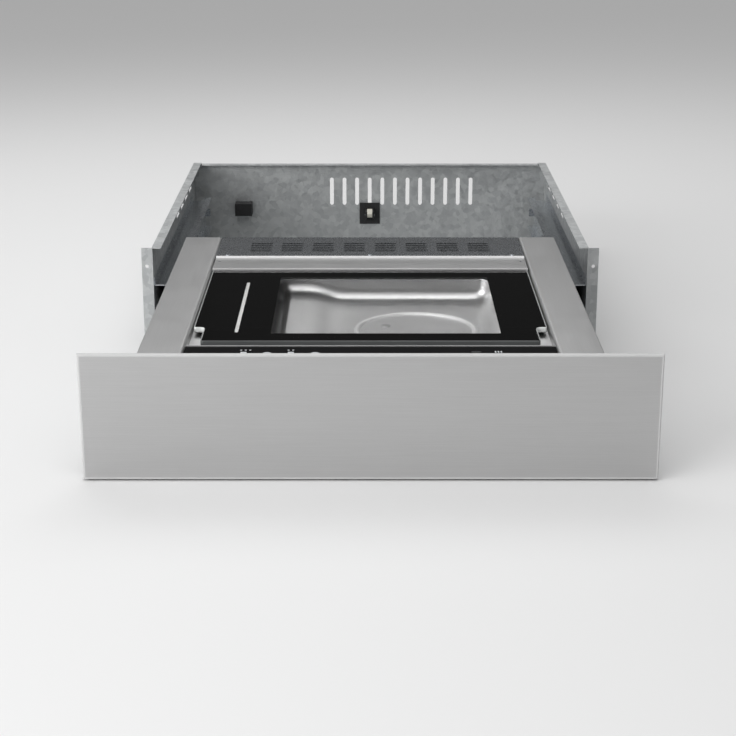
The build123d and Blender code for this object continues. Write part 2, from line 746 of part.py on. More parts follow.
def side_cover():
    """Right side cover: brushed strip with a rounded inner edge and an outer lip."""
    top, out = BODY_TOP, BODY_HALF
    section = folded(
        [
            (out, top - COVER_LIP),
            (out, top),
            (WELL_HALF, top),
            (WELL_HALF, top - COVER_INNER_FLANGE),
        ],
        COVER_SHEET,
    )
    outer = corners_at(section, (out, top))
    section = fillet(outer, COVER_OUTER_BEND)
    section = fillet(corners_at(section, (WELL_HALF, top)), COVER_INNER_BEND)
    inside = corners_at(section, (WELL_HALF + COVER_SHEET, top - COVER_SHEET))
    section = fillet(inside, COVER_INNER_BEND - COVER_SHEET)
    cover = along_y(section, behind(PANEL_DEPTH + COVER_GAP), behind(BODY_DEPTH))
    x0, x1 = WELL_HALF - 1, WELL_HALF + COVER_INNER_BEND + COVER_GAP
    z0, z1 = top - COVER_INNER_FLANGE - 1, top - COVER_INNER_BEND
    cover -= block(x0, x1, behind(BRACKET_START + 1), behind(BRACKET_END + 1), z0, z1)
    rear = behind(BODY_DEPTH)
    return cover - block(x0, x1, rear - TRAY_SHEET - COVER_GAP, rear + 1, z0, top - COVER_SHEET)


def rear_cover():
    """Cover of the pump compartment with a field of cooling slots."""
    y0, y1 = behind(REAR_COVER_START), behind(BODY_DEPTH)
    half = WELL_HALF - 0.5
    section = folded([(y1 - COVER_GAP, BODY_TOP), (y0, BODY_TOP)], COVER_SHEET)
    cover = along_x(section, -half, half)
    for side in (-1, 1):
        x0, x1 = sorted((side * (half - COVER_SHEET), side * half))
        cover += block(x0, x1, y0 + TROUGH_SHELF + 2, y1 - 12, BODY_TOP - 10, BODY_TOP - 1)
    x_slots, rows = spread(-140.0, 140.0, 8), spread(y0 + 36.0, y1 - 34.0, 5)
    cover -= slots_z(x_slots, rows, COVER_VENT_LENGTH, COVER_VENT_WIDTH, BODY_TOP - 3, BODY_TOP + 1)
    for x, y in cover_screw_places():
        cover -= rod_z(x, y, BODY_TOP - 3, BODY_TOP + 1, COVER_SCREW_R + 0.3)
    return cover


def cover_screw_places():
    """Where the rear cover is screwed down."""
    y, reach = behind(REAR_COVER_START + COVER_SCREW_INSET), WELL_HALF - COVER_SCREW_SIDE
    return [(x, y) for x in (-reach, 0.0, reach)]


def cover_screws():
    """Low round-head screws of the rear cover."""
    screws = []
    for x, y in cover_screw_places():
        shank = rod_z(x, y, BODY_TOP - 7.5, BODY_TOP, COVER_SCREW_R)
        head = rod_z(x, y, BODY_TOP, BODY_TOP + COVER_SCREW_HEAD, COVER_SCREW_HEAD_R)
        screws.append(shank + head)
    return Compound(children=screws)


def chamber_support():
    """Right channel that stands on the tray floor and carries the chamber's deck."""
    x = DECK_HALF
    z0, z1 = TRAY_FLOOR, DECK_TOP - CHAMBER_SHEET
    section = folded([(x - SUPPORT_FOOT, z0), (x, z0), (x, z1), (x - SUPPORT_SHELF, z1)], COVER_SHEET)
    channel = along_y(section, behind(CONTROL_START), behind(DECK_END - 3))
    for share in (0.27, 0.55):
        channel -= rod_x(x - 5, x + 5, behind(share * BODY_DEPTH), BODY_TOP / 2, SUPPORT_HOLE_R)
    return channel


# Controls


def carrier_under():
    """Height of the control carrier's underside."""
    return BODY_TOP - CONTROL_DROP - CONTROL_GLASS - CARRIER_DEPTH


def control_glass():
    """Black glass of the touch controls."""
    top = BODY_TOP - CONTROL_DROP
    y0, y1 = behind(CONTROL_START), behind(CONTROL_END)
    return rounded_plate(-CONTROL_HALF, CONTROL_HALF, y0, y1, top - CONTROL_GLASS, top, 1.0)


def control_carrier():
    """Moulded carrier under the control glass, with a pocket for the touch board."""
    half = CONTROL_HALF
    z0, z1 = carrier_under(), BODY_TOP - CONTROL_DROP - CONTROL_GLASS
    y0, y1 = behind(CONTROL_START), behind(CONTROL_END)
    tray = block(-half, half, y0, y1, z0, z1)
    w = CARRIER_WALL
    tray -= block(-half + w, half - w, y0 + w, y1 - w, z0 + CARRIER_FLOOR, z1 + 1)
    for x in spread(-0.82 * half, 0.82 * half, 5):
        tray += block(x - 1, x + 1, y0 + w, y1 - w, z0 + CARRIER_FLOOR, z1 - BOARD_THICKNESS)
    return tray


def control_board():
    """Touch board that lies under the glass."""
    margin = CARRIER_WALL + BOARD_GAP
    half = CONTROL_HALF - margin
    y0, y1 = behind(CONTROL_START + margin), behind(CONTROL_END - margin)
    z1 = BODY_TOP - CONTROL_DROP - CONTROL_GLASS
    return block(-half, half, y0, y1, z1 - BOARD_THICKNESS, z1)


# Vacuum chamber


def chamber_outline():
    """Inside of the chamber across the drawer: sealing trough, bag ramp and floor."""
    top, floor, crest = DECK_TOP + 1, FLOOR_TOP, FLOOR_TOP + RAMP_HEIGHT
    left, right = CHAMBER_LEFT, CHAMBER_RIGHT
    step_foot = left + CHAMBER_DRAFT + TROUGH_FLOOR_WIDTH
    crest_left = step_foot + RAMP_STEP
    crest_right = crest_left + RAMP_TOP_WIDTH
    ramp_foot = crest_right + RAMP_RUN
    middle = ((crest_right + ramp_foot) / 2, floor + RAMP_HEIGHT / 2)
    left_foot, right_foot = left + CHAMBER_DRAFT, right - CHAMBER_DRAFT
    lines = Polyline(
        (left, top), (left_foot, floor), (step_foot, floor), (crest_left, crest), (crest_right, crest)
    )
    lines += TangentArc((crest_right, crest), middle, tangent=(1, 0))
    lines += TangentArc((ramp_foot, floor), middle, tangent=(-1, 0))
    lines += Polyline((ramp_foot, floor), (right_foot, floor), (right, top), (left, top))
    face = make_face(lines.edges())
    face = fillet(corners_at(face, (left_foot, floor), (right_foot, floor)), CHAMBER_CORNER)
    face = fillet(corners_at(face, (step_foot, floor)), RAMP_FOOT_ROUND)
    return fillet(corners_at(face, (crest_left, crest)), RAMP_CREST_ROUND)


def chamber_form(grow):
    """The chamber's space, made larger all round by grow, open at the top."""
    face = chamber_outline()
    if grow:
        face = offset(face, amount=grow, kind=Kind.INTERSECTION)
    y0, y1 = behind(CHAMBER_START) - grow, behind(CHAMBER_END) + grow
    form = along_y(face, y0, y1)
    ends = []
    for edge in form.edges():
        box = edge.bounding_box()
        flat = abs(box.min.Y - box.max.Y) < 0.01
        at_end = min(abs(box.min.Y - y0), abs(box.min.Y - y1)) < 0.01
        if flat and at_end and box.min.Z <= DECK_TOP:
            ends.append(edge)
    return fillet(ends, CHAMBER_END_CORNER + grow)


def vacuum_chamber():
    """Deep-drawn steel chamber in one sheet with its deck, ramp and embossed ring."""
    under = DECK_TOP - CHAMBER_SHEET
    y0 = behind(DECK_START + TRIM_WIDTH) - CHAMBER_SHEET
    deck = block(-DECK_HALF, DECK_HALF, y0, behind(DECK_END), under, DECK_TOP)
    y0, y1 = behind(DECK_END) - CHAMBER_SHEET, behind(DECK_END)
    deck += block(-DECK_HALF + 1, DECK_HALF - 1, y0, y1, DECK_TOP - DECK_REAR_FLANGE, under)
    y0, y1 = behind(DECK_START), behind(DECK_END)
    shell = chamber_form(CHAMBER_SHEET) & block(-DECK_HALF, DECK_HALF, y0, y1, 0, DECK_TOP)
    inside = chamber_form(0)
    chamber = deck + shell - inside
    mouth = []
    for edge in chamber.edges():
        box = edge.bounding_box()
        level = abs(box.min.Z - DECK_TOP) < 0.01 and abs(box.max.Z - DECK_TOP) < 0.01
        in_x = box.min.X > CHAMBER_LEFT - 2 and box.max.X < CHAMBER_RIGHT + 2
        in_y = box.min.Y > behind(CHAMBER_START - 2) and box.max.Y < behind(CHAMBER_END + 2)
        if level and in_x and in_y:
            mouth.append(edge)
    chamber = fillet(mouth, CHAMBER_MOUTH_ROUND)
    bead_z = FLOOR_TOP + RING_BEAD_RISE - RING_BEAD_RADIUS
    chamber += Pos(RING_X, behind(RING_BEHIND), bead_z) * Torus(RING_RADIUS, RING_BEAD_RADIUS)
    for y in lift_places():
        chamber -= rod_z(SLIT_X, y, FLOOR_UNDER - 1, FLOOR_TOP + 1, LIFT_PIN_HOLE_R)
    return chamber - rod_z(PORT_X, behind(PORT_BEHIND), FLOOR_UNDER - 1, FLOOR_TOP + 1, PORT_HOLE_R)


def deck_trim():
    """Angle trim welded on the deck's front edge, almost level with the strips."""
    trim_top = BODY_TOP - TRIM_DROP
    y0, y1 = behind(DECK_START), behind(DECK_START + TRIM_WIDTH)
    trim = block(-DECK_HALF, DECK_HALF, y1 - CHAMBER_SHEET, y1, DECK_TOP, trim_top)
    return trim + block(-DECK_HALF, DECK_HALF, y0, y1, trim_top - COVER_SHEET, trim_top)


def chamber_gasket():
    """Silicone gasket on the deck round the chamber's mouth."""
    x0, x1 = CHAMBER_LEFT - GASKET_MARGIN, CHAMBER_RIGHT + GASKET_MARGIN
    y0, y1 = behind(CHAMBER_START - GASKET_MARGIN), behind(CHAMBER_END + GASKET_MARGIN)
    z1 = PRINT_UNDER - GASKET_CLEARANCE
    w = GASKET_WIDTH
    ring = rounded_plate(x0 - w, x1 + w, y0 - w, y1 + w, DECK_TOP, z1, GASKET_CORNER + w)
    ring -= rounded_plate(x0, x1, y0, y1, DECK_TOP - 1, z1 + 1, GASKET_CORNER)
    top_edges = [e for e in ring.edges() if e.bounding_box().min.Z > z1 - 0.01]
    return fillet(top_edges, GASKET_EDGE_ROUND)


def suction_strainer():
    """Round strainer over the suction port in the chamber floor."""
    y = behind(PORT_BEHIND)
    z0 = FLOOR_TOP
    disc = rod_z(PORT_X, y, z0, z0 + STRAINER_THICKNESS, STRAINER_RADIUS)
    rim = [e for e in disc.edges() if e.bounding_box().min.Z > z0 + STRAINER_THICKNESS - 0.01]
    disc = fillet(rim, STRAINER_EDGE_ROUND)
    holes = [(0.0, 0.0)]
    r = STRAINER_HOLE_CIRCLE
    holes += [(r * cos(2 * pi * i / 6), r * sin(2 * pi * i / 6)) for i in range(6)]
    for dx, dy in holes:
        disc -= rod_z(PORT_X + dx, y + dy, z0 - 1, z0 + 3, STRAINER_HOLE_R)
    return disc


def suction_port():
    """Port under the chamber floor with a barb that points to the rear."""
    x, y = PORT_X, behind(PORT_BEHIND)
    top = FLOOR_UNDER
    port = rod_z(x, y, top - 3, top, 13.0) + rod_z(x, y, top - 20, top - 3, 8.0)
    barb_z = hose_level()
    port += rod_y(x, y, y + PORT_BARB_LENGTH, barb_z, HOSE_BORE_R - RUNNING_CLEARANCE)
    port -= rod_z(x, y, top - 17, top + 1, PORT_BORE_R)
    return port - rod_y(x, y, y + PORT_BARB_LENGTH + 1, barb_z, 1.8)


def hose_level():
    """Height of the hose where it leaves the port."""
    return FLOOR_UNDER - 12.0


# Sealing bar


def lift_places():
    """Y of the two lift pins of the sealing bar."""
    return [behind(SLIT_START + LIFT_PIN_INSET), behind(SLIT_END - LIFT_PIN_INSET)]


def bar_top():
    """Height of the sealing bar's top at rest."""
    return PRINT_UNDER - COUNTER_BAR_HEIGHT - BAR_REST_GAP


def sealing_bar():
    """Aluminium sealing bar with its raised heating band."""
    top = bar_top()
    y0, y1 = behind(SLIT_START - 2), behind(SLIT_END + 2)
    w = BAR_WIDTH / 2
    body_top = top - BAR_BAND_HEIGHT
    section = outline(
        (SLIT_X - w, top - BAR_HEIGHT),
        (SLIT_X + w, top - BAR_HEIGHT),
        (SLIT_X + w, body_top - BAR_CHAMFER),
        (SLIT_X + w - BAR_CHAMFER, body_top),
        (SLIT_X - w + BAR_CHAMFER, body_top),
        (SLIT_X - w, body_top - BAR_CHAMFER),
    )
    band = BAR_BAND_WIDTH / 2
    bar = along_y(section, y0, y1)
    return bar + block(SLIT_X - band, SLIT_X + band, y0 + 3, y1 - 3, body_top, top)


def lift_pins():
    """Two pins that carry the sealing bar and run in the lift cylinders."""
    pins = []
    z1 = bar_top() - BAR_HEIGHT
    for y in lift_places():
        z0 = FLOOR_UNDER - CYLINDER_HEIGHT + BAR_LIFT
        pins.append(rod_z(SLIT_X, y, z0, z1, LIFT_PIN_RADIUS))
    return Compound(children=pins)


def lift_cylinders():
    """Two lift cylinders that hang under the sealing trough."""
    cylinders = []
    z1 = FLOOR_UNDER
    for y in lift_places():
        can = rod_z(SLIT_X, y, z1 - CYLINDER_HEIGHT, z1 - CYLINDER_FLANGE, CYLINDER_RADIUS)
        can += rod_z(SLIT_X, y, z1 - CYLINDER_FLANGE, z1, CYLINDER_FLANGE_R)
        bore = LIFT_PIN_RADIUS + RUNNING_CLEARANCE
        can -= rod_z(SLIT_X, y, z1 - CYLINDER_HEIGHT + 2.5, z1 + 1, bore)
        cylinders.append(can)
    return Compound(children=cylinders)


# Lid


def lid_plan(margin):
    """Outline of the lid glass with its two notched front corners, drawn in by the margin."""
    half = LID_WIDTH / 2 - margin
    y0, y1 = behind(LID_START) + margin, behind(LID_END) - margin
    notch_x = half - NOTCH_WIDTH
    notch_y = y0 + NOTCH_LENGTH
    plan = outline(
        (-notch_x, y0), (notch_x, y0), (notch_x, notch_y), (half, notch_y),
        (half, y1), (-half, y1), (-half, notch_y), (-notch_x, notch_y),
    )
    plan = fillet(corners_at(plan, (notch_x, notch_y), (-notch_x, notch_y)), NOTCH_ROUND)
    outer = corners_at(plan, (notch_x, y0), (-notch_x, y0), (half, notch_y), (-half, notch_y))
    return fillet(outer, LID_CORNER)


def lid_glass():
    """Toughened glass lid."""
    return along_z(lid_plan(0), LID_UNDER, LID_TOP)


def lid_print():
    """Black print on the lid's underside, with the window and the sealing slit left clear."""
    window_x = (WINDOW_LEFT + WINDOW_RIGHT) / 2
    window_y = behind((WINDOW_START + WINDOW_END) / 2)
    window = RectangleRounded(WINDOW_RIGHT - WINDOW_LEFT, WINDOW_END - WINDOW_START, WINDOW_ROUND)
    slit = SlotOverall(SLIT_END - SLIT_START, SLIT_WIDTH, rotation=90)
    plan = lid_plan(PRINT_MARGIN) - Pos(window_x, window_y) * window
    plan -= Pos(SLIT_X, behind((SLIT_START + SLIT_END) / 2)) * slit
    return along_z(plan, PRINT_UNDER, LID_UNDER)


def counter_bar():
    """Silicone bar under the lid that the sealing bar presses against."""
    w, top, cut = COUNTER_BAR_WIDTH / 2, PRINT_UNDER, COUNTER_BAR_CHAMFER
    low = top - COUNTER_BAR_HEIGHT
    section = outline(
        (SLIT_X - w, top), (SLIT_X - w, low + cut), (SLIT_X - w + cut, low),
        (SLIT_X + w - cut, low), (SLIT_X + w, low + cut), (SLIT_X + w, top),
    )
    return along_y(section, behind(SLIT_START - 4), behind(SLIT_END + 4))


def hinge_profile():
    """Brushed steel hinge bar bonded over the rear edge of the glass, with a rib at its back."""
    cap_top = LID_TOP + HINGE_CAP
    rib_top, low = cap_top + HINGE_RIB, LID_TOP - HINGE_BODY_DEPTH
    front, rear, rib = behind(HINGE_START), behind(HINGE_END), behind(HINGE_END - HINGE_RIB_WIDTH)
    step = behind(LID_END) + 0.5
    face = outline(
        (front, LID_TOP), (step, LID_TOP), (step, low + 2), (step + 2, low),
        (rear - HINGE_CHAMFER, low), (rear, low + HINGE_CHAMFER), (rear, rib_top),
        (rib, rib_top), (rib, cap_top), (front, cap_top),
    )
    face = fillet(corners_at(face, (front, cap_top), (rear, rib_top)), HINGE_EDGE_ROUND)
    bar = along_x(face, -HINGE_HALF, HINGE_HALF)
    pivot_y = behind(PIVOT_BEHIND)
    for side in (-1, 1):
        x0, x1 = sorted((side * (HINGE_HALF - PIN_INNER_LENGTH), side * (HINGE_HALF + 1)))
        bar -= rod_x(x0, x1, pivot_y, PIVOT_Z, PIVOT_RADIUS)
        x, y = side * (HINGE_HALF - HINGE_SCREW_INSET), pivot_y - 2 * HINGE_SCREW_R
        bar -= rod_z(x, y, cap_top - HINGE_SCREW_DEPTH, cap_top + 1, HINGE_SCREW_R)
    return bar


def hinge_pins():
    """Steel pins in the ends of the hinge bar."""
    pins = []
    for side in (-1, 1):
        near, far = HINGE_HALF - PIN_INNER_LENGTH + 0.2, HINGE_HALF + PIN_OUTER_LENGTH
        x0, x1 = sorted((side * near, side * far))
        pins.append(rod_x(x0, x1, behind(PIVOT_BEHIND), PIVOT_Z, PIVOT_RADIUS - 0.01))
    return Compound(children=pins)


def hinge_bracket():
    """Right steel bracket that carries the hinge pin, bolted to the chamber support."""
    x0 = bracket_face()
    x1 = x0 + BRACKET_SHEET
    y0, y1 = behind(BRACKET_START), behind(BRACKET_END)
    face = outline(
        (y0, TRAY_FLOOR), (y1, TRAY_FLOOR), (y1, TRAY_TOP - 4.0),
        (y1 - 4.0, TRAY_TOP - 0.3), (y0 + 16.0, TRAY_TOP - 0.3), (y0, DECK_TOP - 8.0),
    )
    plate = along_x(face, x0, x1)
    plate += block(x1, x1 + BRACKET_FOOT, y0, y1, TRAY_FLOOR, TRAY_FLOOR + BRACKET_SHEET)
    for z in (BRACKET_BOSS_LOW, BRACKET_BOSS_HIGH):
        plate += rod_x(DECK_HALF, x0, y0 + BRACKET_BOSS_R + 1, z, BRACKET_BOSS_R)
    bore = PIVOT_RADIUS + RUNNING_CLEARANCE
    plate -= rod_x(x0 - 1, x1 + 1, behind(PIVOT_BEHIND), PIVOT_Z, bore)
    return plate


def bracket_face():
    """Half-width at which the hinge brackets stand, clear of the cover's rounded inner edge."""
    return WELL_HALF + COVER_INNER_BEND + 0.3


def lid_dampers():
    """Rotary dampers on the outside of the hinge brackets, which hold the lid where it is put."""
    dampers = []
    y = behind(PIVOT_BEHIND)
    for side in (-1, 1):
        near = bracket_face() + BRACKET_SHEET
        x0, x1 = sorted((side * near, side * (near + DAMPER_LENGTH)))
        can = rod_x(x0, x1, y, PIVOT_Z, DAMPER_RADIUS)
        fx0, fx1 = sorted((side * near, side * (near + 2.0)))
        r = DAMPER_RADIUS
        can += block(fx0, fx1, y - r, y + r, PIVOT_Z - DAMPER_TAB, PIVOT_Z)
        can -= rod_x(x0 - 1, x1 + 1, y, PIVOT_Z, PIVOT_RADIUS + RUNNING_CLEARANCE)
        end0, end1 = sorted((side * (near + DAMPER_LENGTH - 3), side * (near + DAMPER_LENGTH)))
        can += rod_x(end0, end1, y, PIVOT_Z, DAMPER_RADIUS)
        dampers.append(can)
    return Compound(children=dampers)


def hinge_trough():
    """Sheet trough behind the chamber in which the hinge bar turns."""
    half = DECK_HALF - 0.2
    y0, y1 = behind(DECK_END) + 0.4, behind(TROUGH_END)
    low = BODY_TOP - TROUGH_DEPTH
    section = folded(
        [
            (y0, DECK_TOP - CHAMBER_SHEET - 0.4),
            (y0, low),
            (y1, low),
            (y1, TRAY_TOP - TROUGH_SHEET),
            (y1 + TROUGH_SHELF, TRAY_TOP - TROUGH_SHEET),
        ],
        TROUGH_SHEET,
    )
    trough = along_x(section, -half, half)
    for x, y in cover_screw_places():
        trough -= rod_z(x, y, TRAY_TOP - 3, TRAY_TOP + 1, COVER_SCREW_R + 0.1)
    return trough


# Front panel


def panel_section(inset, rear):
    """Cross-section of the front, with the slanted top edge that fingers pull, drawn in all round."""
    slope = PANEL_GRIP_DROP / (PANEL_DEPTH - PANEL_LEDGE)
    ledge = PANEL_LEDGE + inset * (1 - hypot(1, slope)) / slope
    return outline(
        (behind(inset), PANEL_LIFT + inset),
        (behind(inset), PANEL_TOP - inset),
        (behind(ledge), PANEL_TOP - inset),
        (behind(rear), PANEL_TOP - inset - slope * (rear - ledge)),
        (behind(rear), PANEL_LIFT + inset),
    )


def front_panel():
    """Brushed steel skin of the front with a bevelled edge and folded returns."""
    half, inner = PANEL_WIDTH / 2, PANEL_WIDTH / 2 - PANEL_SKIN
    skin = along_x(panel_section(0, PANEL_DEPTH), -half, half)
    face_edges = [e for e in skin.edges() if e.bounding_box().max.Y < behind(0) + 0.01]
    face = skin.faces().sort_by(Axis.Y)[0]
    skin = chamfer(face_edges, PANEL_BEVEL_SIDE, PANEL_BEVEL_FACE, reference=face)
    return skin - along_x(panel_section(PANEL_SKIN, PANEL_DEPTH + 1), -inner, inner)


def panel_back():
    """Pan that closes the back of the front panel and screws to the tray."""
    half = PANEL_WIDTH / 2 - PANEL_SKIN
    z0, z1 = PANEL_LIFT + PANEL_SKIN, PANEL_TOP - PANEL_GRIP_DROP - PANEL_SKIN - 0.3
    s = PANEL_BACK_SHEET
    pan = block(-half, half, behind(PANEL_SKIN), behind(PANEL_DEPTH), z0, z1)
    pan -= block(-half + s, half - s, behind(0), behind(PANEL_DEPTH - s), z0 + s, z1 - s)
    y0, y1, w = behind(PANEL_SKIN), behind(PANEL_DEPTH - s), PANEL_RIB_WIDTH / 2
    for x in spread(-0.74 * half, 0.74 * half, 5):
        pan += block(x - w, x + w, y0, y0 + s, z0 + s, z1 - s)
        pan += block(x - w, x - w + s, y0, y1, z0 + s, z1 - s)
    return pan


def panel_buffers():
    """Rubber buffers on the panel's back that meet the casing flanges."""
    buffers = []
    y0 = behind(PANEL_DEPTH)
    x = PANEL_WIDTH / 2 - BUFFER_INSET
    for side in (-1, 1):
        for z in (FIXING_HEIGHT - BUFFER_SPACING / 2, FIXING_HEIGHT + BUFFER_SPACING / 2):
            buffers.append(rod_y(side * x, y0, y0 + BUFFER_THICKNESS, z, BUFFER_RADIUS))
    return Compound(children=buffers)


# Pump compartment and electrics


def vacuum_pump():
    """Finned pump head on its mounting plate, with the inlet nipple at the front."""
    x0, x1 = PUMP_LEFT, PUMP_RIGHT
    y = behind(PUMP_BEHIND)
    h = PUMP_HEAD_HALF
    base = PUMP_PLATE_Z + PUMP_PLATE
    plate = block(x0 - 4, x1 + MOTOR_LENGTH + 6, y - h, y + h, PUMP_PLATE_Z, base)
    head = block(x0, x1, y - h + 4, y + h - 4, base, PUMP_AXIS_Z + 24)
    head += rod_x(x0, x1, y, PUMP_AXIS_Z, h - 2)
    for x in spread(x0 + 4, x1 - 4, 8):
        fin = PUMP_FIN / 2
        head += block(x - fin, x + fin, y - h + 2, y + h - 2, PUMP_AXIS_Z + 20, PUMP_AXIS_Z + 42)
    nipple = rod_y(PUMP_INLET_X, y - h - 12, y, PUMP_AXIS_Z, HOSE_BORE_R - RUNNING_CLEARANCE)
    collar = rod_y(PUMP_INLET_X, y - h - 1.5, y, PUMP_AXIS_Z, 8.0)
    return plate + head + nipple + collar


def pump_motor():
    """Motor of the pump: stator can, end shields and the rear bearing cap."""
    x0 = PUMP_RIGHT
    x1 = x0 + MOTOR_LENGTH
    y, z, r = behind(PUMP_BEHIND), PUMP_AXIS_Z, MOTOR_RADIUS
    motor = rod_x(x0, x1 - 6, y, z, r - 3)
    motor += rod_x(x0 + 2, x0 + 14, y, z, r) + rod_x(x1 - 26, x1 - 10, y, z, r)
    motor += rod_x(x0 + 28, x1 - 40, y, z, r - 1)
    motor += rod_x(x1 - 6, x1, y, z, 12.0)
    for x in (x0 + 8, x1 - 18):
        foot = block(x - 6, x + 6, y - 22, y + 22, PUMP_PLATE_Z + PUMP_PLATE, z - 20)
        motor += foot
    return motor


def pump_mounts():
    """Rubber mounts between the pump plate and the tray."""
    y = behind(PUMP_BEHIND)
    mounts = []
    for x in (PUMP_LEFT + 6, PUMP_RIGHT + MOTOR_LENGTH - 4):
        for side in (-1, 1):
            foot_y = y + side * (PUMP_HEAD_HALF - 10)
            lower = rod_z(x, foot_y, TRAY_FLOOR, TRAY_FLOOR + 2, 8.0)
            mounts.append(lower + rod_z(x, foot_y, TRAY_FLOOR, PUMP_PLATE_Z, 6.0))
    return Compound(children=mounts)


def hose_route():
    """Corner points of the hose from the chamber port to the pump inlet."""
    x, y, z = PORT_X, behind(PORT_BEHIND) + 10.0, hose_level()
    end_y = behind(PUMP_BEHIND) - PUMP_HEAD_HALF - 1.6
    run, aside = end_y - y, PUMP_INLET_X - PORT_X
    return [
        (x, y, z),
        (x, y + 0.2 * run, z),
        (x + 0.4 * aside, y + 0.48 * run, z - 3.0),
        (PUMP_INLET_X, y + 0.78 * run, PUMP_AXIS_Z),
        (PUMP_INLET_X, end_y, PUMP_AXIS_Z),
    ]


def hose_radii(points):
    """Bend radius at each inner corner: as large as its two runs allow."""
    radii = []
    for a, b, c in zip(points, points[1:], points[2:]):
        before, after = Vector(*b) - Vector(*a), Vector(*c) - Vector(*b)
        half_turn = radians(before.get_angle(after)) / 2
        shorter = min(before.length, after.length)
        radii.append(0.45 * shorter / (sin(half_turn) / cos(half_turn)))
    return radii


def vacuum_hose():
    """Silicone hose held between the port's barb and the pump's nipple."""
    points = hose_route()
    radii = hose_radii(points)
    path = FilletPolyline(*points, radius=radii)
    ring = Plane(path @ 0, z_dir=path % 0) * (Circle(HOSE_RADIUS) - Circle(HOSE_BORE_R))
    hose = sweep(ring, path=path)
    area = pi * (HOSE_RADIUS**2 - HOSE_BORE_R**2)
    print(f"hose length {path.length:.1f}, volume ratio {hose.volume / (area * path.length):.4f}")
    print("hose bend radii", [round(r) for r in radii])
    return hose


def valve_block():
    """Valve manifold with two solenoids and their hose tail."""
    y, half = behind(PUMP_BEHIND), VALVE_WIDTH / 2
    top = TRAY_FLOOR + VALVE_HEIGHT
    x0, x1 = VALVE_LEFT, VALVE_LEFT + VALVE_LENGTH
    manifold = block(x0, x1, y - half, y + half, TRAY_FLOOR, top)
    for x in (x0 + COIL_WIDTH * 0.85, x1 - COIL_WIDTH):
        w, d = COIL_WIDTH / 2, COIL_DEPTH / 2
        manifold += block(x - w, x + w, y - d, y + d, top, top + COIL_HEIGHT)
        manifold += rod_z(x, y, top + COIL_HEIGHT, top + COIL_HEIGHT + COIL_CAP_HEIGHT, COIL_CAP_R)
    tail_z = TRAY_FLOOR + VALVE_HEIGHT / 2
    return manifold + rod_y((x0 + x1) / 2, y - half - 12, y - half, tail_z, 3.6)


def transformer():
    """Laminated transformer that feeds the heating band."""
    x0, x1 = TRANSFORMER_LEFT, TRANSFORMER_LEFT + TRANSFORMER_WIDTH
    y0 = behind(DECK_START + TRANSFORMER_START_MARGIN)
    y1 = y0 + TRANSFORMER_DEPTH
    z0, z1 = TRAY_FLOOR, TRAY_FLOOR + TRANSFORMER_HEIGHT
    side = (TRANSFORMER_DEPTH - TRANSFORMER_STACK) / 2
    strap, ear, inset = TRANSFORMER_STRAP, TRANSFORMER_EAR, COIL_INSET
    core = block(x0, x1, y0 + side, y1 - side, z0 + strap, z1)
    coil = block(x0 + inset, x1 - inset, y0 + 2, y1 - 2, z0 + inset, z1 - 9)
    long_edges = [e for e in coil.edges() if e.bounding_box().size.X > x1 - x0 - 2 * inset - 1]
    coil = fillet(long_edges, 6.0)
    return core + coil + block(x0 - ear, x1 + ear, y0 + side + 2, y1 - side - 2, z0, z0 + strap)


def power_board():
    """Control board on standoffs, with capacitors, relays, a heat sink and a plug."""
    width, length = POWER_BOARD_WIDTH, POWER_BOARD_LENGTH
    x0, x1 = POWER_BOARD_LEFT, POWER_BOARD_LEFT + width
    y0 = behind(DECK_START + POWER_BOARD_START_MARGIN)
    y1 = y0 + length
    z = TRAY_FLOOR + POWER_BOARD_STANDOFF
    top = z + BOARD_THICKNESS
    board = block(x0, x1, y0, y1, z, top)
    inset = 2 * STANDOFF_R
    for x in (x0 + inset, x1 - inset):
        for y in (y0 + inset, y1 - inset):
            board += rod_z(x, y, TRAY_FLOOR, z, STANDOFF_R)
    for x in (x0 + 0.2 * width, x0 + 0.42 * width):
        board += rod_z(x, y0 + 0.18 * length, top, top + CAPACITOR_HEIGHT, CAPACITOR_R)
    for y in spread(y0 + 0.37 * length, y0 + 0.63 * length, 3):
        x = x0 + 0.12 * width
        board += block(x, x + RELAY_WIDTH, y, y + RELAY_LENGTH, top, top + RELAY_HEIGHT)
    sink_start, sink_end = y0 + 0.38 * length, y0 + 0.78 * length
    for x in spread(x0 + 0.52 * width, x0 + 0.86 * width, 6):
        board += block(x - 1, x + 1, sink_start, sink_end, top, top + SINK_HEIGHT)
    board += block(x0 + 0.49 * width, x0 + 0.89 * width, sink_start, sink_end, top, top + SINK_BASE)
    plug_end = y1 - inset - 3 * STANDOFF_R / 2
    return board + block(
        x0 + 0.6 * width, x0 + 0.9 * width, plug_end - PLUG_DEPTH, plug_end, top, top + PLUG_HEIGHT
    )


# The whole drawer

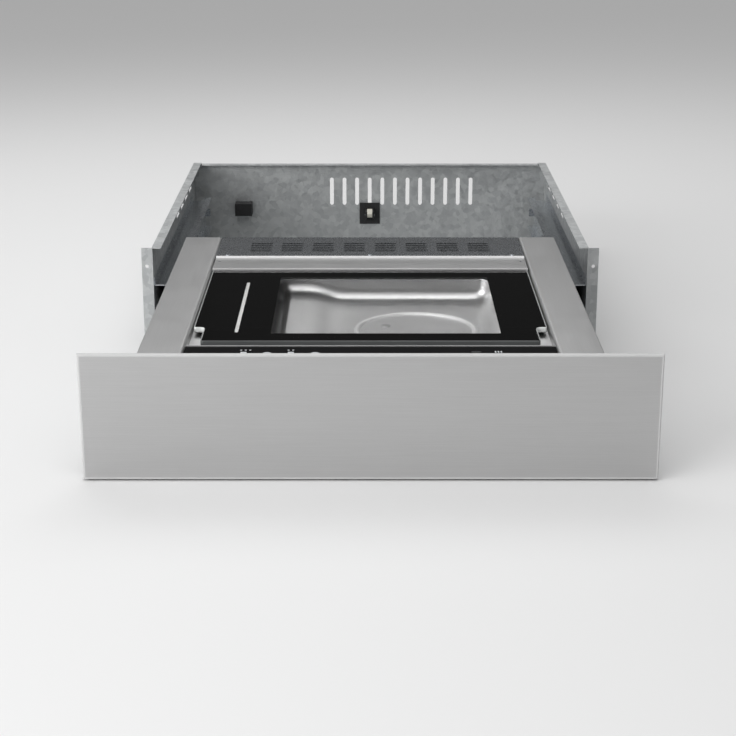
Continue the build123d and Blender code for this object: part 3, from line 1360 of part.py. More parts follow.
SINGLE = {
    "casing_base": casing_base,
    "casing_back": casing_back,
    "casing_screws": casing_screws,
    "power_inlet": power_inlet,
    "latch_housing": latch_housing,
    "latch_pin": latch_pin,
    "latch_pawl": latch_pawl,
    "latch_striker": latch_striker,
    "drawer_tray": drawer_tray,
    "rear_cover": rear_cover,
    "cover_screws": cover_screws,
    "control_glass": control_glass,
    "control_carrier": control_carrier,
    "control_board": control_board,
    "vacuum_chamber": vacuum_chamber,
    "deck_trim": deck_trim,
    "chamber_gasket": chamber_gasket,
    "suction_strainer": suction_strainer,
    "suction_port": suction_port,
    "vacuum_hose": vacuum_hose,
    "vacuum_pump": vacuum_pump,
    "pump_motor": pump_motor,
    "pump_mounts": pump_mounts,
    "valve_block": valve_block,
    "transformer": transformer,
    "power_board": power_board,
    "sealing_bar": sealing_bar,
    "lift_pins": lift_pins,
    "lift_cylinders": lift_cylinders,
    "lid_glass": lid_glass,
    "lid_print": lid_print,
    "counter_bar": counter_bar,
    "hinge_profile": hinge_profile,
    "hinge_pins": hinge_pins,
    "lid_dampers": lid_dampers,
    "hinge_trough": hinge_trough,
    "front_panel": front_panel,
    "panel_back": panel_back,
    "panel_buffers": panel_buffers,
}

PAIRED = {
    "casing_side": casing_side,
    "slide_spacer": slide_spacer,
    "slide_outer": slide_outer,
    "slide_middle": slide_middle,
    "slide_inner": slide_inner,
    "ball_cage_outer": ball_cage_outer,
    "ball_cage_inner": ball_cage_inner,
    "side_cover": side_cover,
    "chamber_support": chamber_support,
    "hinge_bracket": hinge_bracket,
}


def main():
    """Build each piece and write it to its own file."""
    os.makedirs("parts", exist_ok=True)
    for name, build in SINGLE.items():
        export_step(build(), f"parts/{name}.step")
    for name, build in PAIRED.items():
        right = build()
        export_step(right, f"parts/{name}_right.step")
        export_step(mirrored(right), f"parts/{name}_left.step")


main()
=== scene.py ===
"""Looks of a built-in vacuum sealing drawer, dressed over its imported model.

Metres, +X to the right seen from the front, +Y into the cabinet, +Z up. The drawer stands pulled out
of its casing, with the lid shut over the chamber.
"""

import json
import logging
import math
from dataclasses import dataclass
from enum import Enum, IntEnum
from functools import cache
from typing import Callable

import bmesh
import bpy
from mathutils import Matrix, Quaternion, Vector


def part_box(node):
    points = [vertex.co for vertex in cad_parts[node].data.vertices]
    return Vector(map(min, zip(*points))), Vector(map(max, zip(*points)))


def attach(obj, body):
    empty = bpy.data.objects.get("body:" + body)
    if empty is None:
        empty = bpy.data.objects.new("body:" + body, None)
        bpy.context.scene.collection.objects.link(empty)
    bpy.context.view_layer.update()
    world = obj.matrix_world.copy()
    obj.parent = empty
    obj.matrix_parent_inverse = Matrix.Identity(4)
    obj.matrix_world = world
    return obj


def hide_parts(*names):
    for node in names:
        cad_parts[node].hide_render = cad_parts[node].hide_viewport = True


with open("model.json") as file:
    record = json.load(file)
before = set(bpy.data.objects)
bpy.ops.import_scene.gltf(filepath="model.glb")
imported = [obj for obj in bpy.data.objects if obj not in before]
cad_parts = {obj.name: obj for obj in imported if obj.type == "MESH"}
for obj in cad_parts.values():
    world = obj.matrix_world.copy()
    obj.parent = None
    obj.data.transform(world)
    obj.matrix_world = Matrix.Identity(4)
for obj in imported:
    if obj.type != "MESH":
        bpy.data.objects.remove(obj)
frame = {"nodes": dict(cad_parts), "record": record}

LOG = logging.getLogger("drawer")
MM = 0.001
# Blender's wave texture repeats its band after this length, in metres, at a scale of 1.
WAVE_BAND = 0.314
# Share of its normal along an axis from which a face counts as square to that axis.
SQUARE = 0.9
# Edges that turn by more than the first angle are sharp, and by less than the second are dissolved.
SHARP_DEG = 35.0
FLAT_DEG = 0.4
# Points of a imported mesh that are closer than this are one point.
MERGE_MM = 0.003


def linear(code: str) -> tuple[float, float, float, float]:
    """Turn an sRGB hex colour into linear light.

    Args:
        code: Six hex digits after a number sign.

    Returns:
        Red, green, blue and an alpha of 1.
    """
    parts = [int(code[i : i + 2], 16) / 255 for i in (1, 3, 5)]
    red, green, blue = (c / 12.92 if c <= 0.04045 else ((c + 0.055) / 1.055) ** 2.4 for c in parts)
    return red, green, blue, 1.0


def add_node(tree: bpy.types.NodeTree, kind: str, inputs: dict, **settings: object) -> bpy.types.Node:
    """Add one node with its settings, values and links.

    Args:
        tree: Tree that gets the node.
        kind: Blender's name for the node type.
        inputs: Value or linked socket for each input, by name or number.
        settings: Properties of the node itself.

    Returns:
        The new node.
    """
    node = tree.nodes.new(kind)
    for key, value in settings.items():
        setattr(node, key, value)
    for key, value in inputs.items():
        if isinstance(value, bpy.types.NodeSocket):
            tree.links.new(value, node.inputs[key])
        else:
            node.inputs[key].default_value = value
    return node


def start_material(name: str) -> bpy.types.Material:
    """Make a material with no nodes.

    Args:
        name: Name of the material.

    Returns:
        The material.
    """
    material = bpy.data.materials.new(name)
    material.use_nodes = True
    material.node_tree.nodes.clear()
    return material


def finish_material(material: bpy.types.Material, shader: bpy.types.NodeSocket) -> bpy.types.Material:
    """Link a shader to the output of its material."""
    add_node(material.node_tree, "ShaderNodeOutputMaterial", {"Surface": shader})
    return material


def emboss(
    material: bpy.types.Material,
    looks: dict,
    height: bpy.types.NodeSocket,
    strength: float,
    depth_mm: float,
) -> bpy.types.Material:
    """Complete a material with a shader that a pattern is embossed into.

    Args:
        material: Material with its patterns.
        looks: Value or linked socket for each input of the shader, by name.
        height: Pattern that rises out of the surface.
        strength: Share of the pattern's slopes that shows.
        depth_mm: Height of the pattern.

    Returns:
        The material.
    """
    tree = material.node_tree
    relief = {"Strength": strength, "Distance": depth_mm * MM, "Height": height}
    bump = add_node(tree, "ShaderNodeBump", relief)
    shader = add_node(tree, "ShaderNodeBsdfPrincipled", {**looks, "Normal": bump.outputs[0]})
    return finish_material(material, shader.outputs[0])


class Grain(Enum):
    """Direction in which a sheet was brushed, as the size of one scratch in millimetres.

    The scratches are drawn wider than real ones, so that they show.
    """

    ACROSS = (70.0, 0.7, 0.7)
    INWARD = (0.7, 70.0, 0.7)


@dataclass(frozen=True)
class BrushedSteel:
    """Stainless steel sheet, ground with a belt: long fine scratches that spread the light."""

    name: str
    colour: str
    streak: str
    roughness: float
    grain: Grain
    depth_mm: float = 0.012
    relief: float = 0.35
    spread: float = 0.06
    smudge: float = 0.05
    smudge_mm: float = 45.0

    def make(self) -> bpy.types.Material:
        """Build the material with scratches in its bump, roughness and tone.

        Returns:
            The material.
        """
        material = start_material(self.name)
        tree = material.node_tree
        place = add_node(tree, "ShaderNodeTexCoord", {}).outputs["Object"]
        scale = tuple(1 / (MM * size) for size in self.grain.value)
        along = add_node(tree, "ShaderNodeMapping", {"Vector": place, "Scale": scale})
        scratch = add_node(
            tree,
            "ShaderNodeTexNoise",
            {"Vector": along.outputs[0], "Scale": 1.0, "Detail": 3.0, "Roughness": 0.65},
        )
        cloud = add_node(
            tree, "ShaderNodeTexNoise", {"Vector": place, "Scale": 1 / (MM * self.smudge_mm), "Detail": 2.0}
        )
        tone = add_node(
            tree,
            "ShaderNodeMix",
            {"Factor": scratch.outputs["Fac"], 6: linear(self.streak), 7: linear(self.colour)},
            data_type="RGBA",
        )
        rough = add_node(
            tree,
            "ShaderNodeMapRange",
            {
                "Value": scratch.outputs["Fac"],
                "To Min": self.roughness - self.spread,
                "To Max": self.roughness + self.spread,
            },
        )
        worn = add_node(
            tree,
            "ShaderNodeMath",
            {0: cloud.outputs["Fac"], 1: self.smudge, 2: rough.outputs[0]},
            operation="MULTIPLY_ADD",
        )
        looks = {"Base Color": tone.outputs[2], "Metallic": 1.0, "Roughness": worn.outputs[0]}
        return emboss(material, looks, scratch.outputs["Fac"], self.relief, self.depth_mm)


@dataclass(frozen=True)
class DrawnSteel:
    """Deep-drawn stainless steel, its gloss set by zone, its tone by zone a painted light and shade.

    The ramp, the bends and the embossed bead are lightest, a painted highlight; the floor and the deck a
    little darker; the end walls darker again and the trough of the sealing bar darkest, as painted shade.
    """

    name: str
    # The lightest tone is a painted highlight; wall and trough are painted shade.
    colour: str
    floor: str
    wall: str
    trough: str
    roughness: float
    bend_roughness: float
    bead_roughness: float
    # The trough's painted shade fades between these two places across, and between these two heights.
    trough_mm: tuple[float, float] = (-112.0, -97.0)
    deck_mm: tuple[float, float] = (108.0, 113.0)
    # The ramp's lighter tone, a painted highlight, turns into the floor's between these two places.
    ramp_mm: tuple[float, float] = (-70.0, 10.0)
    # Middle of the embossed ring, its radius, and half the width of its bead.
    ring_mm: tuple[float, float] = (52.5, -229.0)
    radius_mm: float = 68.0
    bead_mm: float = 3.4
    # Shares of the normal along Y between which a surface counts as bent, and as an end wall.
    bend: tuple[float, float] = (0.08, 0.4)
    end: tuple[float, float] = (0.8, 0.98)
    # How strongly a face that looks sideways counts as bent.
    side_gain: float = 2.0
    peel_mm: float = 2.6
    depth_mm: float = 0.001
    relief: float = 0.35
    smudge: float = 0.04
    smudge_mm: float = 45.0

    def make(self) -> bpy.types.Material:
        """Build the material with its orange peel, and with the painted highlight and shade of each zone.

        Returns:
            The material.
        """
        material = start_material(self.name)
        tree = material.node_tree
        source = add_node(tree, "ShaderNodeTexCoord", {})
        place = source.outputs["Object"]
        peel, cloud = (
            add_node(
                tree, "ShaderNodeTexNoise", {"Vector": place, "Scale": 1 / (MM * size), "Detail": fine}
            )
            for size, fine in ((self.peel_mm, 3.0), (self.smudge_mm, 2.0))
        )
        facing = add_node(tree, "ShaderNodeSeparateXYZ", {"Vector": source.outputs["Normal"]})
        side, lengthwise = (
            add_node(tree, "ShaderNodeMath", {0: facing.outputs[axis]}, operation="ABSOLUTE").outputs[0]
            for axis in ("X", "Y")
        )
        spot = add_node(tree, "ShaderNodeSeparateXYZ", {"Vector": place})
        across, height = spot.outputs["X"], spot.outputs["Z"]
        end_wall_share, bent, beside, level, above = (
            add_node(
                tree,
                "ShaderNodeMapRange",
                {"Value": value, "From Min": low * unit, "From Max": high * unit},
                interpolation_type=curve,
            ).outputs[0]
            for value, (low, high), unit, curve in (
                (lengthwise, self.end, 1.0, "SMOOTHSTEP"),
                (lengthwise, self.bend, 1.0, "SMOOTHSTEP"),
                (across, self.trough_mm, MM, "SMOOTHSTEP"),
                (across, self.ramp_mm, MM, "SMOOTHSTEP"),
                (height, self.deck_mm, MM, "LINEAR"),
            )
        )
        plan = add_node(tree, "ShaderNodeVectorMath", {0: place, 1: (1.0, 1.0, 0.0)}, operation="MULTIPLY")
        away = add_node(
            tree,
            "ShaderNodeVectorMath",
            {0: plan.outputs[0], 1: (self.ring_mm[0] * MM, self.ring_mm[1] * MM, 0.0)},
            operation="DISTANCE",
        )
        bead = add_node(
            tree,
            "ShaderNodeMath",
            {0: away.outputs["Value"], 1: self.radius_mm * MM, 2: self.bead_mm * MM},
            operation="COMPARE",
        ).outputs[0]
        turned = add_node(
            tree, "ShaderNodeMath", {0: side, 1: self.side_gain, 2: bent}, operation="MULTIPLY_ADD"
        )
        # Painted highlight: the ramp, the bends and the bead keep the lightest tone; elsewhere the floor
        # tone.
        unshaded, plain, highlighted = (
            add_node(tree, "ShaderNodeMath", {0: one, 1: two}, operation="MAXIMUM").outputs[0]
            for one, two in ((beside, above), (level, above), (turned.outputs[0], bead))
        )
        flat = add_node(tree, "ShaderNodeMath", {0: plain, 1: highlighted}, operation="SUBTRACT").outputs[0]
        tone = linear(self.colour)
        # Painted shade: a darker tone on the end walls, and the darkest in the trough of the sealing bar.
        for share, other in ((flat, self.floor), (end_wall_share, self.wall)):
            mix = add_node(
                tree, "ShaderNodeMix", {"Factor": share, 6: tone, 7: linear(other)}, data_type="RGBA"
            )
            tone = mix.outputs[2]
        dimmed = add_node(
            tree, "ShaderNodeMix", {"Factor": unshaded, 6: linear(self.trough), 7: tone}, data_type="RGBA"
        )
        gloss = self.roughness
        for share, other in ((bent, self.bend_roughness), (bead, self.bead_roughness)):
            step = add_node(tree, "ShaderNodeMapRange", {"Value": share, "To Min": gloss, "To Max": other})
            gloss = step.outputs[0]
        worn = add_node(
            tree,
            "ShaderNodeMath",
            {0: cloud.outputs["Fac"], 1: self.smudge, 2: gloss},
            operation="MULTIPLY_ADD",
        )
        looks = {"Base Color": dimmed.outputs[2], "Metallic": 1.0, "Roughness": worn.outputs[0]}
        return emboss(material, looks, peel.outputs["Fac"], self.relief, self.depth_mm)


@dataclass(frozen=True)
class SpangledZinc:
    """Hot-dip galvanised sheet: flat crystals a few millimetres wide, each with its own tone."""

    name: str
    colour: str
    shade: str
    spangle_mm: float
    roughness: float
    spread: float = 0.08
    bend: float = 0.4
    bend_mm: float = 5.0

    def make(self) -> bpy.types.Material:
        """Build the material with a tone and a gloss for each crystal.

        Returns:
            The material.
        """
        material = start_material(self.name)
        tree = material.node_tree
        place = add_node(tree, "ShaderNodeTexCoord", {}).outputs["Object"]
        bend = add_node(
            tree, "ShaderNodeTexNoise", {"Vector": place, "Scale": 1 / (MM * self.bend_mm), "Detail": 2.0}
        )
        shifted = add_node(
            tree,
            "ShaderNodeVectorMath",
            {0: bend.outputs["Color"], 1: (self.spangle_mm * MM * self.bend,) * 3, 2: place},
            operation="MULTIPLY_ADD",
        )
        crystal = add_node(
            tree,
            "ShaderNodeTexVoronoi",
            {"Vector": shifted.outputs[0], "Scale": 1 / (MM * self.spangle_mm)},
        )
        own = add_node(tree, "ShaderNodeSeparateColor", {"Color": crystal.outputs["Color"]})
        tone = add_node(
            tree,
            "ShaderNodeMix",
            {"Factor": own.outputs[0], 6: linear(self.shade), 7: linear(self.colour)},
            data_type="RGBA",
        )
        rough = add_node(
            tree,
            "ShaderNodeMapRange",
            {
                "Value": own.outputs[1],
                "To Min": self.roughness - self.spread,
                "To Max": self.roughness + self.spread,
            },
        )
        shader = add_node(
            tree,
            "ShaderNodeBsdfPrincipled",
            {"Base Color": tone.outputs[2], "Metallic": 1.0, "Roughness": rough.outputs[0]},
        )
        return finish_material(material, shader.outputs[0])


@dataclass(frozen=True)
class Coated:
    """Moulded, cast, plated or coated surface: one colour broken by a fine random texture."""

    name: str
    colour: str
    shade: str
    roughness: float
    grain_mm: float
    depth_mm: float
    metallic: float = 0.0
    ior: float = 1.5
    patch_mm: float = 25.0
    relief: float = 0.5
    spread: float = 0.07

    def make(self) -> bpy.types.Material:
        """Build the material with its texture in bump, gloss and tone.

        Returns:
            The material.
        """
        material = start_material(self.name)
        tree = material.node_tree
        place = add_node(tree, "ShaderNodeTexCoord", {}).outputs["Object"]
        grain, patch = (
            add_node(tree, "ShaderNodeTexNoise", {"Vector": place, "Scale": 1 / (MM * size), "Detail": 3.0})
            for size in (self.grain_mm, self.patch_mm)
        )
        tone = add_node(
            tree,
            "ShaderNodeMix",
            {"Factor": patch.outputs["Fac"], 6: linear(self.shade), 7: linear(self.colour)},
            data_type="RGBA",
        )
        rough = add_node(
            tree,
            "ShaderNodeMapRange",
            {
                "Value": grain.outputs["Fac"],
                "To Min": self.roughness - self.spread,
                "To Max": self.roughness + self.spread,
            },
        )
        looks = {
            "Base Color": tone.outputs[2],
            "Metallic": self.metallic,
            "Roughness": rough.outputs[0],
            "IOR": self.ior,
        }
        return emboss(material, looks, grain.outputs["Fac"], self.relief, self.depth_mm)


@dataclass(frozen=True)
class ClearGlass:
    """Toughened float glass: clear and polished, with a faint film left by wiping."""

    name: str
    tint: str
    ior: float = 1.52
    film: float = 0.05
    film_mm: float = 60.0

    def make(self) -> bpy.types.Material:
        """Build glass that lets the lamps through to what lies under it.

        Returns:
            The material.
        """
        material = start_material(self.name)
        tree = material.node_tree
        place = add_node(tree, "ShaderNodeTexCoord", {}).outputs["Object"]
        film = add_node(
            tree, "ShaderNodeTexNoise", {"Vector": place, "Scale": 1 / (MM * self.film_mm), "Detail": 4.0}
        )
        gloss = add_node(
            tree, "ShaderNodeMapRange", {"Value": film.outputs["Fac"], "To Min": 0.0, "To Max": self.film}
        )
        shader = add_node(
            tree,
            "ShaderNodeBsdfPrincipled",
            {
                "Base Color": linear(self.tint),
                "Roughness": gloss.outputs[0],
                "IOR": self.ior,
                "Transmission Weight": 1.0,
            },
        )
        lamp = add_node(tree, "ShaderNodeLightPath", {}).outputs["Is Shadow Ray"]
        through = add_node(tree, "ShaderNodeBsdfTransparent", {"Color": linear("#ffffff")})
        inputs = {0: lamp, 1: shader.outputs[0], 2: through.outputs[0]}
        surface = add_node(tree, "ShaderNodeMixShader", inputs)
        return finish_material(material, surface.outputs[0])


@dataclass(frozen=True)
class Laminations:
    """Varnished stack of transformer sheets, seen as fine lines across the core."""

    name: str
    colour: str
    gap: str
    sheet_mm: float
    roughness: float = 0.4
    waver: float = 0.6
    relief: float = 0.5
    depth_mm: float = 0.1

    def make(self) -> bpy.types.Material:
        """Build the material with one dark line for each sheet.

        Returns:
            The material.
        """
        material = start_material(self.name)
        tree = material.node_tree
        place = add_node(tree, "ShaderNodeTexCoord", {}).outputs["Object"]
        lines = add_node(
            tree,
            "ShaderNodeTexWave",
            {"Vector": place, "Scale": WAVE_BAND / (MM * self.sheet_mm), "Distortion": self.waver},
            bands_direction="Y",
        )
        tone = add_node(
            tree,
            "ShaderNodeMix",
            {"Factor": lines.outputs["Fac"], 6: linear(self.gap), 7: linear(self.colour)},
            data_type="RGBA",
        )
        looks = {"Base Color": tone.outputs[2], "Roughness": self.roughness}
        return emboss(material, looks, lines.outputs["Fac"], self.relief, self.depth_mm)


@dataclass(frozen=True)
class SolderMask:
    """Green circuit board: copper tracks show as lighter lines under the lacquer."""

    name: str
    mask: str
    track: str
    roughness: float
    net_mm: float = 9.0
    # Share of a mesh of the net after which the tracks turn back, and where their edge lies.
    turn: float = 0.16
    edge: tuple[float, float] = (0.08, 0.1)
    relief: float = 0.4
    depth_mm: float = 0.05

    def make(self) -> bpy.types.Material:
        """Build the material with a net of tracks under a glossy lacquer.

        Returns:
            The material.
        """
        material = start_material(self.name)
        tree = material.node_tree
        place = add_node(tree, "ShaderNodeTexCoord", {}).outputs["Object"]
        net = add_node(
            tree,
            "ShaderNodeTexVoronoi",
            {"Vector": place, "Scale": 1 / (MM * self.net_mm)},
            distance="CHEBYCHEV",
            feature="F2",
        )
        lines = add_node(
            tree, "ShaderNodeMath", {0: net.outputs["Distance"], 1: self.turn}, operation="PINGPONG"
        )
        narrow = add_node(
            tree,
            "ShaderNodeMapRange",
            {"Value": lines.outputs[0], "From Min": self.edge[0], "From Max": self.edge[1]},
        )
        tone = add_node(
            tree,
            "ShaderNodeMix",
            {"Factor": narrow.outputs[0], 6: linear(self.mask), 7: linear(self.track)},
            data_type="RGBA",
        )
        looks = {"Base Color": tone.outputs[2], "Roughness": self.roughness}
        return emboss(material, looks, narrow.outputs[0], self.relief, self.depth_mm)


Finish = BrushedSteel | DrawnSteel | SpangledZinc | Coated | ClearGlass | Laminations | SolderMask

# Brushed stainless steel of the front: the belt runs across, so light spreads up and down.
FRONT_STEEL = BrushedSteel(
    "brushed stainless steel, grain across", "#c9c9c9", "#b9b9b9", 0.34, Grain.ACROSS
)
# The same steel on the side strips, ground from front to back.
STRIP_STEEL = BrushedSteel(
    "brushed stainless steel, grain inward", "#cfcfcf", "#bfbfbf", 0.36, Grain.INWARD
)
# Satin deep-drawn steel: painted highlight on ramp, bends and bead, painted shade on end walls and trough.
DRAWN_STEEL = DrawnSteel(
    "deep-drawn stainless steel", "#f6f6f6", "#d9d9d9", "#b4b4b4", "#545454", 0.36, 0.29, 0.42
)
# Satin steel of the strainer disc.
STRAINER_STEEL = Coated("satin strainer steel", "#c4c4c4", "#b4b4b4", 0.42, 0.6, 0.02, 1.0)
# Steel of the welded trim in front of the lid, satin and a little darker.
TRIM_STEEL = BrushedSteel("satin trim steel", "#b4b4b4", "#a6a6a6", 0.4, Grain.ACROSS)
# The front's ground edge, given a pale non-metal colour as a painted highlight, shows as a bright line.
EDGE_PAINTED_HIGHLIGHT = Coated("steel edge painted highlight", "#c8c8c8", "#bebebe", 0.4, 0.8, 0.01)
# The rib of the hinge bar, painted near white as a highlight.
RIB_PAINTED_HIGHLIGHT = Coated("rib edge painted highlight", "#f4f4f4", "#ececec", 0.35, 0.8, 0.01)
# Bends of the strips and the bar: a duller steel whose colour is painted to set the sheen along the bend.
BEND_PAINTED_SHEEN = Coated("bend painted sheen", "#c6c6c6", "#bababa", 0.48, 0.8, 0.01, 1.0)
# Hot-dip galvanised steel of the casing and tray: grey crystals.
GALVANISED = SpangledZinc("galvanised steel sheet", "#c6c8c8", "#b2b4b5", 7.0, 0.55)
# Bright zinc plating of slides, brackets and pins: a cold, cloudy shine.
ZINC = Coated("bright zinc plated steel", "#c3c6c9", "#a9adb2", 0.27, 1.4, 0.01, 1.0, patch_mm=18.0)
# Die-cast aluminium of the pump head and lift cylinders: grey with a sandy skin.
CAST_ALUMINIUM = Coated("die-cast aluminium", "#a6a8aa", "#8f9194", 0.45, 0.7, 0.06, 1.0)
# Anodised sealing bar, brushed before anodising: an even silky grey.
BAR_ALUMINIUM = BrushedSteel("anodised aluminium bar", "#c7c8ca", "#b4b6b8", 0.38, Grain.INWARD, 0.006)
# Extruded heat sink and capacitor tops: plain bright aluminium.
SINK_ALUMINIUM = Coated("extruded aluminium", "#b9babc", "#a7a8ab", 0.4, 0.9, 0.02, 1.0)
# Black powder coat of the hinge trough: a fine orange peel.
POWDER = Coated("black powder coat", "#1b1b1c", "#151516", 0.45, 0.9, 0.03)
# Baked enamel of the pump motor: dark and half glossy.
MOTOR_ENAMEL = Coated("dark motor enamel", "#34373a", "#2a2d30", 0.35, 1.2, 0.03)
# Glass-filled nylon, moulded in an eroded tool: matt with a fine sparkle.
BLACK_NYLON = Coated("moulded black nylon", "#1e1e20", "#161617", 0.52, 0.5, 0.04)
# Natural acetal of cages, pawl and valves: milky and slightly waxy.
ACETAL = Coated("natural acetal", "#dad7cc", "#cbc7ba", 0.38, 1.5, 0.01, ior=1.48)
# White nylon of the plugs on the board: warm and a little dull.
PLUG_NYLON = Coated("white nylon plug", "#e6e4dc", "#dad7cd", 0.45, 0.8, 0.02)
# Moulded plastic of the relay cases: blue with a soft gloss.
RELAY_CASE = Coated("blue relay case", "#2b5f93", "#255585", 0.32, 1.2, 0.02)
# Shrunk sleeves of the capacitors: smooth and nearly black blue.
CAPACITOR_SLEEVE = Coated("dark capacitor sleeve", "#1f2a44", "#1a2439", 0.3, 1.5, 0.01)
# Resin cast round the valve coils: black with a soft gloss.
COIL_CASE = Coated("black coil encapsulation", "#202124", "#18191b", 0.4, 0.8, 0.03)
# Polyester tape round the winding: yellow, with a soft shine.
COIL_TAPE = Coated("yellow winding tape", "#c9a13c", "#b98f2f", 0.42, 1.6, 0.02)
# Brown glass cloth with a non-stick coat over the heating band.
HEAT_TAPE = Coated("brown non-stick glass cloth", "#8a6a45", "#7b5d3c", 0.5, 0.35, 0.03)
# Grey silicone of the gasket, extruded: dull with a faint dusting.
GASKET_SILICONE = Coated("grey silicone rubber", "#3a3a3b", "#303031", 0.6, 0.8, 0.03, ior=1.41)
# White silicone of the counter bar, moulded: it shows as the pale line in the print's slit.
PALE_SILICONE = Coated("white silicone rubber", "#f4f4f2", "#ececea", 0.55, 0.8, 0.02, ior=1.41)
# Extruded silicone of the hose: milky grey with a soft gloss.
HOSE_SILICONE = Coated("milky silicone hose", "#c9cac4", "#b8b9b2", 0.42, 2.0, 0.02, ior=1.41)
# Moulded rubber of buffers and mounts: black and dead matt.
RUBBER = Coated("moulded black rubber", "#161616", "#0f0f0f", 0.75, 0.5, 0.05)
# Printed black glass of the touch controls: deep black with a full gloss.
BLACK_GLASS = Coated("printed black glass", "#151516", "#121213", 0.09, 40.0, 0.0, ior=1.52)
# Black ceramic print fired on the underside of the lid, so that only the glass over it shines.
CERAMIC_PRINT = Coated("black ceramic print", "#050505", "#030303", 0.75, 0.6, 0.001, ior=1.1)
# Toughened float glass of the lid: clear, with sharp reflections.
LID_GLASS = ClearGlass("clear toughened glass", "#fcfcfc")
# Rim of the pane in front, ground with a diamond wheel: frosted and dark.
GROUND_EDGE = Coated("ground glass rim", "#535555", "#494b4b", 0.35, 0.4, 0.01, ior=1.52)
# Rim at the sides and in the finger notches, polished, painted pale as a highlight.
RIM_PAINTED_HIGHLIGHT = Coated("glass rim painted highlight", "#dcdedd", "#cfd1d0", 0.2, 0.6, 0.01, ior=1.52)
# Light grey ceramic ink of the signs.
SIGN_INK = Coated("light grey sign ink", "#c9cbcd", "#bfc1c3", 0.45, 3.0, 0.0)
# Smoked grey ink over the light sensor.
SMOKED_INK = Coated("smoked grey ink", "#2e2f30", "#292a2b", 0.3, 3.0, 0.0)
# Lacquered circuit boards: green over paler copper tracks, drawn as wide as they need to show.
SOLDER_MASK = SolderMask("green circuit board", "#14472a", "#2b6a3f", 0.3)
# Varnished transformer sheets, drawn 1.2 mm thick so that their lines show.
CORE_STACK = Laminations("varnished transformer sheets", "#4d443b", "#26211c", 1.2)


def pairs(*names: str) -> list[str]:
    """Names of the left and the right one of each pair of pieces."""
    return [f"{name}_{side}" for name in names for side in ("left", "right")]


NODE_FINISH = {
    FRONT_STEEL: ["front_panel", "hinge_profile"],
    STRIP_STEEL: pairs("side_cover"),
    TRIM_STEEL: ["deck_trim"],
    DRAWN_STEEL: ["vacuum_chamber"],
    STRAINER_STEEL: ["suction_strainer"],
    GALVANISED: [
        "casing_base",
        "casing_back",
        "drawer_tray",
        "panel_back",
        *pairs("casing_side", "chamber_support"),
    ],
    ZINC: [
        "rear_cover",
        "cover_screws",
        "casing_screws",
        "latch_pin",
        "latch_striker",
        "lift_pins",
        "hinge_pins",
        *pairs("slide_spacer", "slide_outer", "slide_middle", "slide_inner", "hinge_bracket"),
    ],
    POWDER: ["hinge_trough"],
    BLACK_NYLON: ["power_inlet", "latch_housing", "control_carrier", "suction_port", "lid_dampers"],
    ACETAL: ["latch_pawl", "valve_block", *pairs("ball_cage_outer", "ball_cage_inner")],
    BLACK_GLASS: ["control_glass"],
    CERAMIC_PRINT: ["lid_print"],
    GASKET_SILICONE: ["chamber_gasket"],
    PALE_SILICONE: ["counter_bar"],
    HOSE_SILICONE: ["vacuum_hose"],
    RUBBER: ["pump_mounts", "panel_buffers"],
    CAST_ALUMINIUM: ["vacuum_pump", "lift_cylinders"],
    BAR_ALUMINIUM: ["sealing_bar"],
    MOTOR_ENAMEL: ["pump_motor"],
    SOLDER_MASK: ["control_board", "power_board"],
    CORE_STACK: ["transformer"],
    LID_GLASS: ["lid_glass"],
}


@cache
def made(finish: Finish) -> bpy.types.Material:
    """Build a finish once and hand out the same material after that."""
    return finish.make()


def dress_nodes() -> None:
    """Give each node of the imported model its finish."""
    for finish, names in NODE_FINISH.items():
        material = made(finish)
        for name in names:
            for slot in frame["nodes"][name].material_slots:
                slot.material = material
    bare = set(frame["nodes"]) - {name for names in NODE_FINISH.values() for name in names}
    LOG.info("nodes without a finish: %s", sorted(bare))


def body_with(node: str) -> str:
    """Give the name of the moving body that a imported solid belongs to."""
    bodies = frame["record"]["behaviour"]["bodies"]
    return next(body for body, nodes in bodies.items() if node in nodes)


Test = Callable[[Vector, Vector], bool]


def pick_out(piece: bpy.types.Object) -> None:
    """Select one piece alone and make it active."""
    bpy.ops.object.select_all(action="DESELECT")
    bpy.context.view_layer.objects.active = piece
    piece.select_set(True)


def start_edit(piece: bpy.types.Object, kind: str = "FACE") -> None:
    """Open one piece alone in edit mode, with nothing on it selected.

    Args:
        piece: Object with a mesh.
        kind: What is selected in it: VERT, EDGE or FACE.
    """
    pick_out(piece)
    bpy.ops.object.mode_set(mode="EDIT")
    bpy.ops.mesh.select_mode(type=kind)
    bpy.ops.mesh.select_all(action="DESELECT")


def end_edit() -> None:
    """Go back to object mode."""
    bpy.ops.object.mode_set(mode="OBJECT")


def pick_faces(piece: bpy.types.Object, wanted: Test) -> None:
    """Select the faces that pass a test.

    Args:
        piece: Object in edit mode.
        wanted: Test of a face's middle and normal.
    """
    shape = bmesh.from_edit_mesh(piece.data)
    for face in shape.faces:
        face.select_set(wanted(face.calc_center_median(), face.normal))
    bmesh.update_edit_mesh(piece.data)


def pick_edges(piece: bpy.types.Object, wanted: Test) -> None:
    """Select the edges that pass a test.

    Args:
        piece: Object in edit mode.
        wanted: Test of an edge's two ends.
    """
    shape = bmesh.from_edit_mesh(piece.data)
    for edge in shape.edges:
        edge.select_set(wanted(edge.verts[0].co, edge.verts[1].co))
    bmesh.update_edit_mesh(piece.data)


def paint(piece: bpy.types.Object, index: int, wanted: Test) -> None:
    """Give the faces that pass a test one of the piece's material slots.

    Args:
        piece: Object whose mesh already has the slot.
        index: Number of the slot.
        wanted: Test of a face's middle and normal.
    """
    for face in piece.data.polygons:
        if wanted(face.center, face.normal):
            face.material_index = index


def smooth(piece: bpy.types.Object, angle_deg: float = SHARP_DEG) -> None:
    """Shade a piece smooth, apart from its sharp edges."""
    pick_out(piece)
    bpy.ops.object.shade_smooth_by_angle(angle=math.radians(angle_deg))


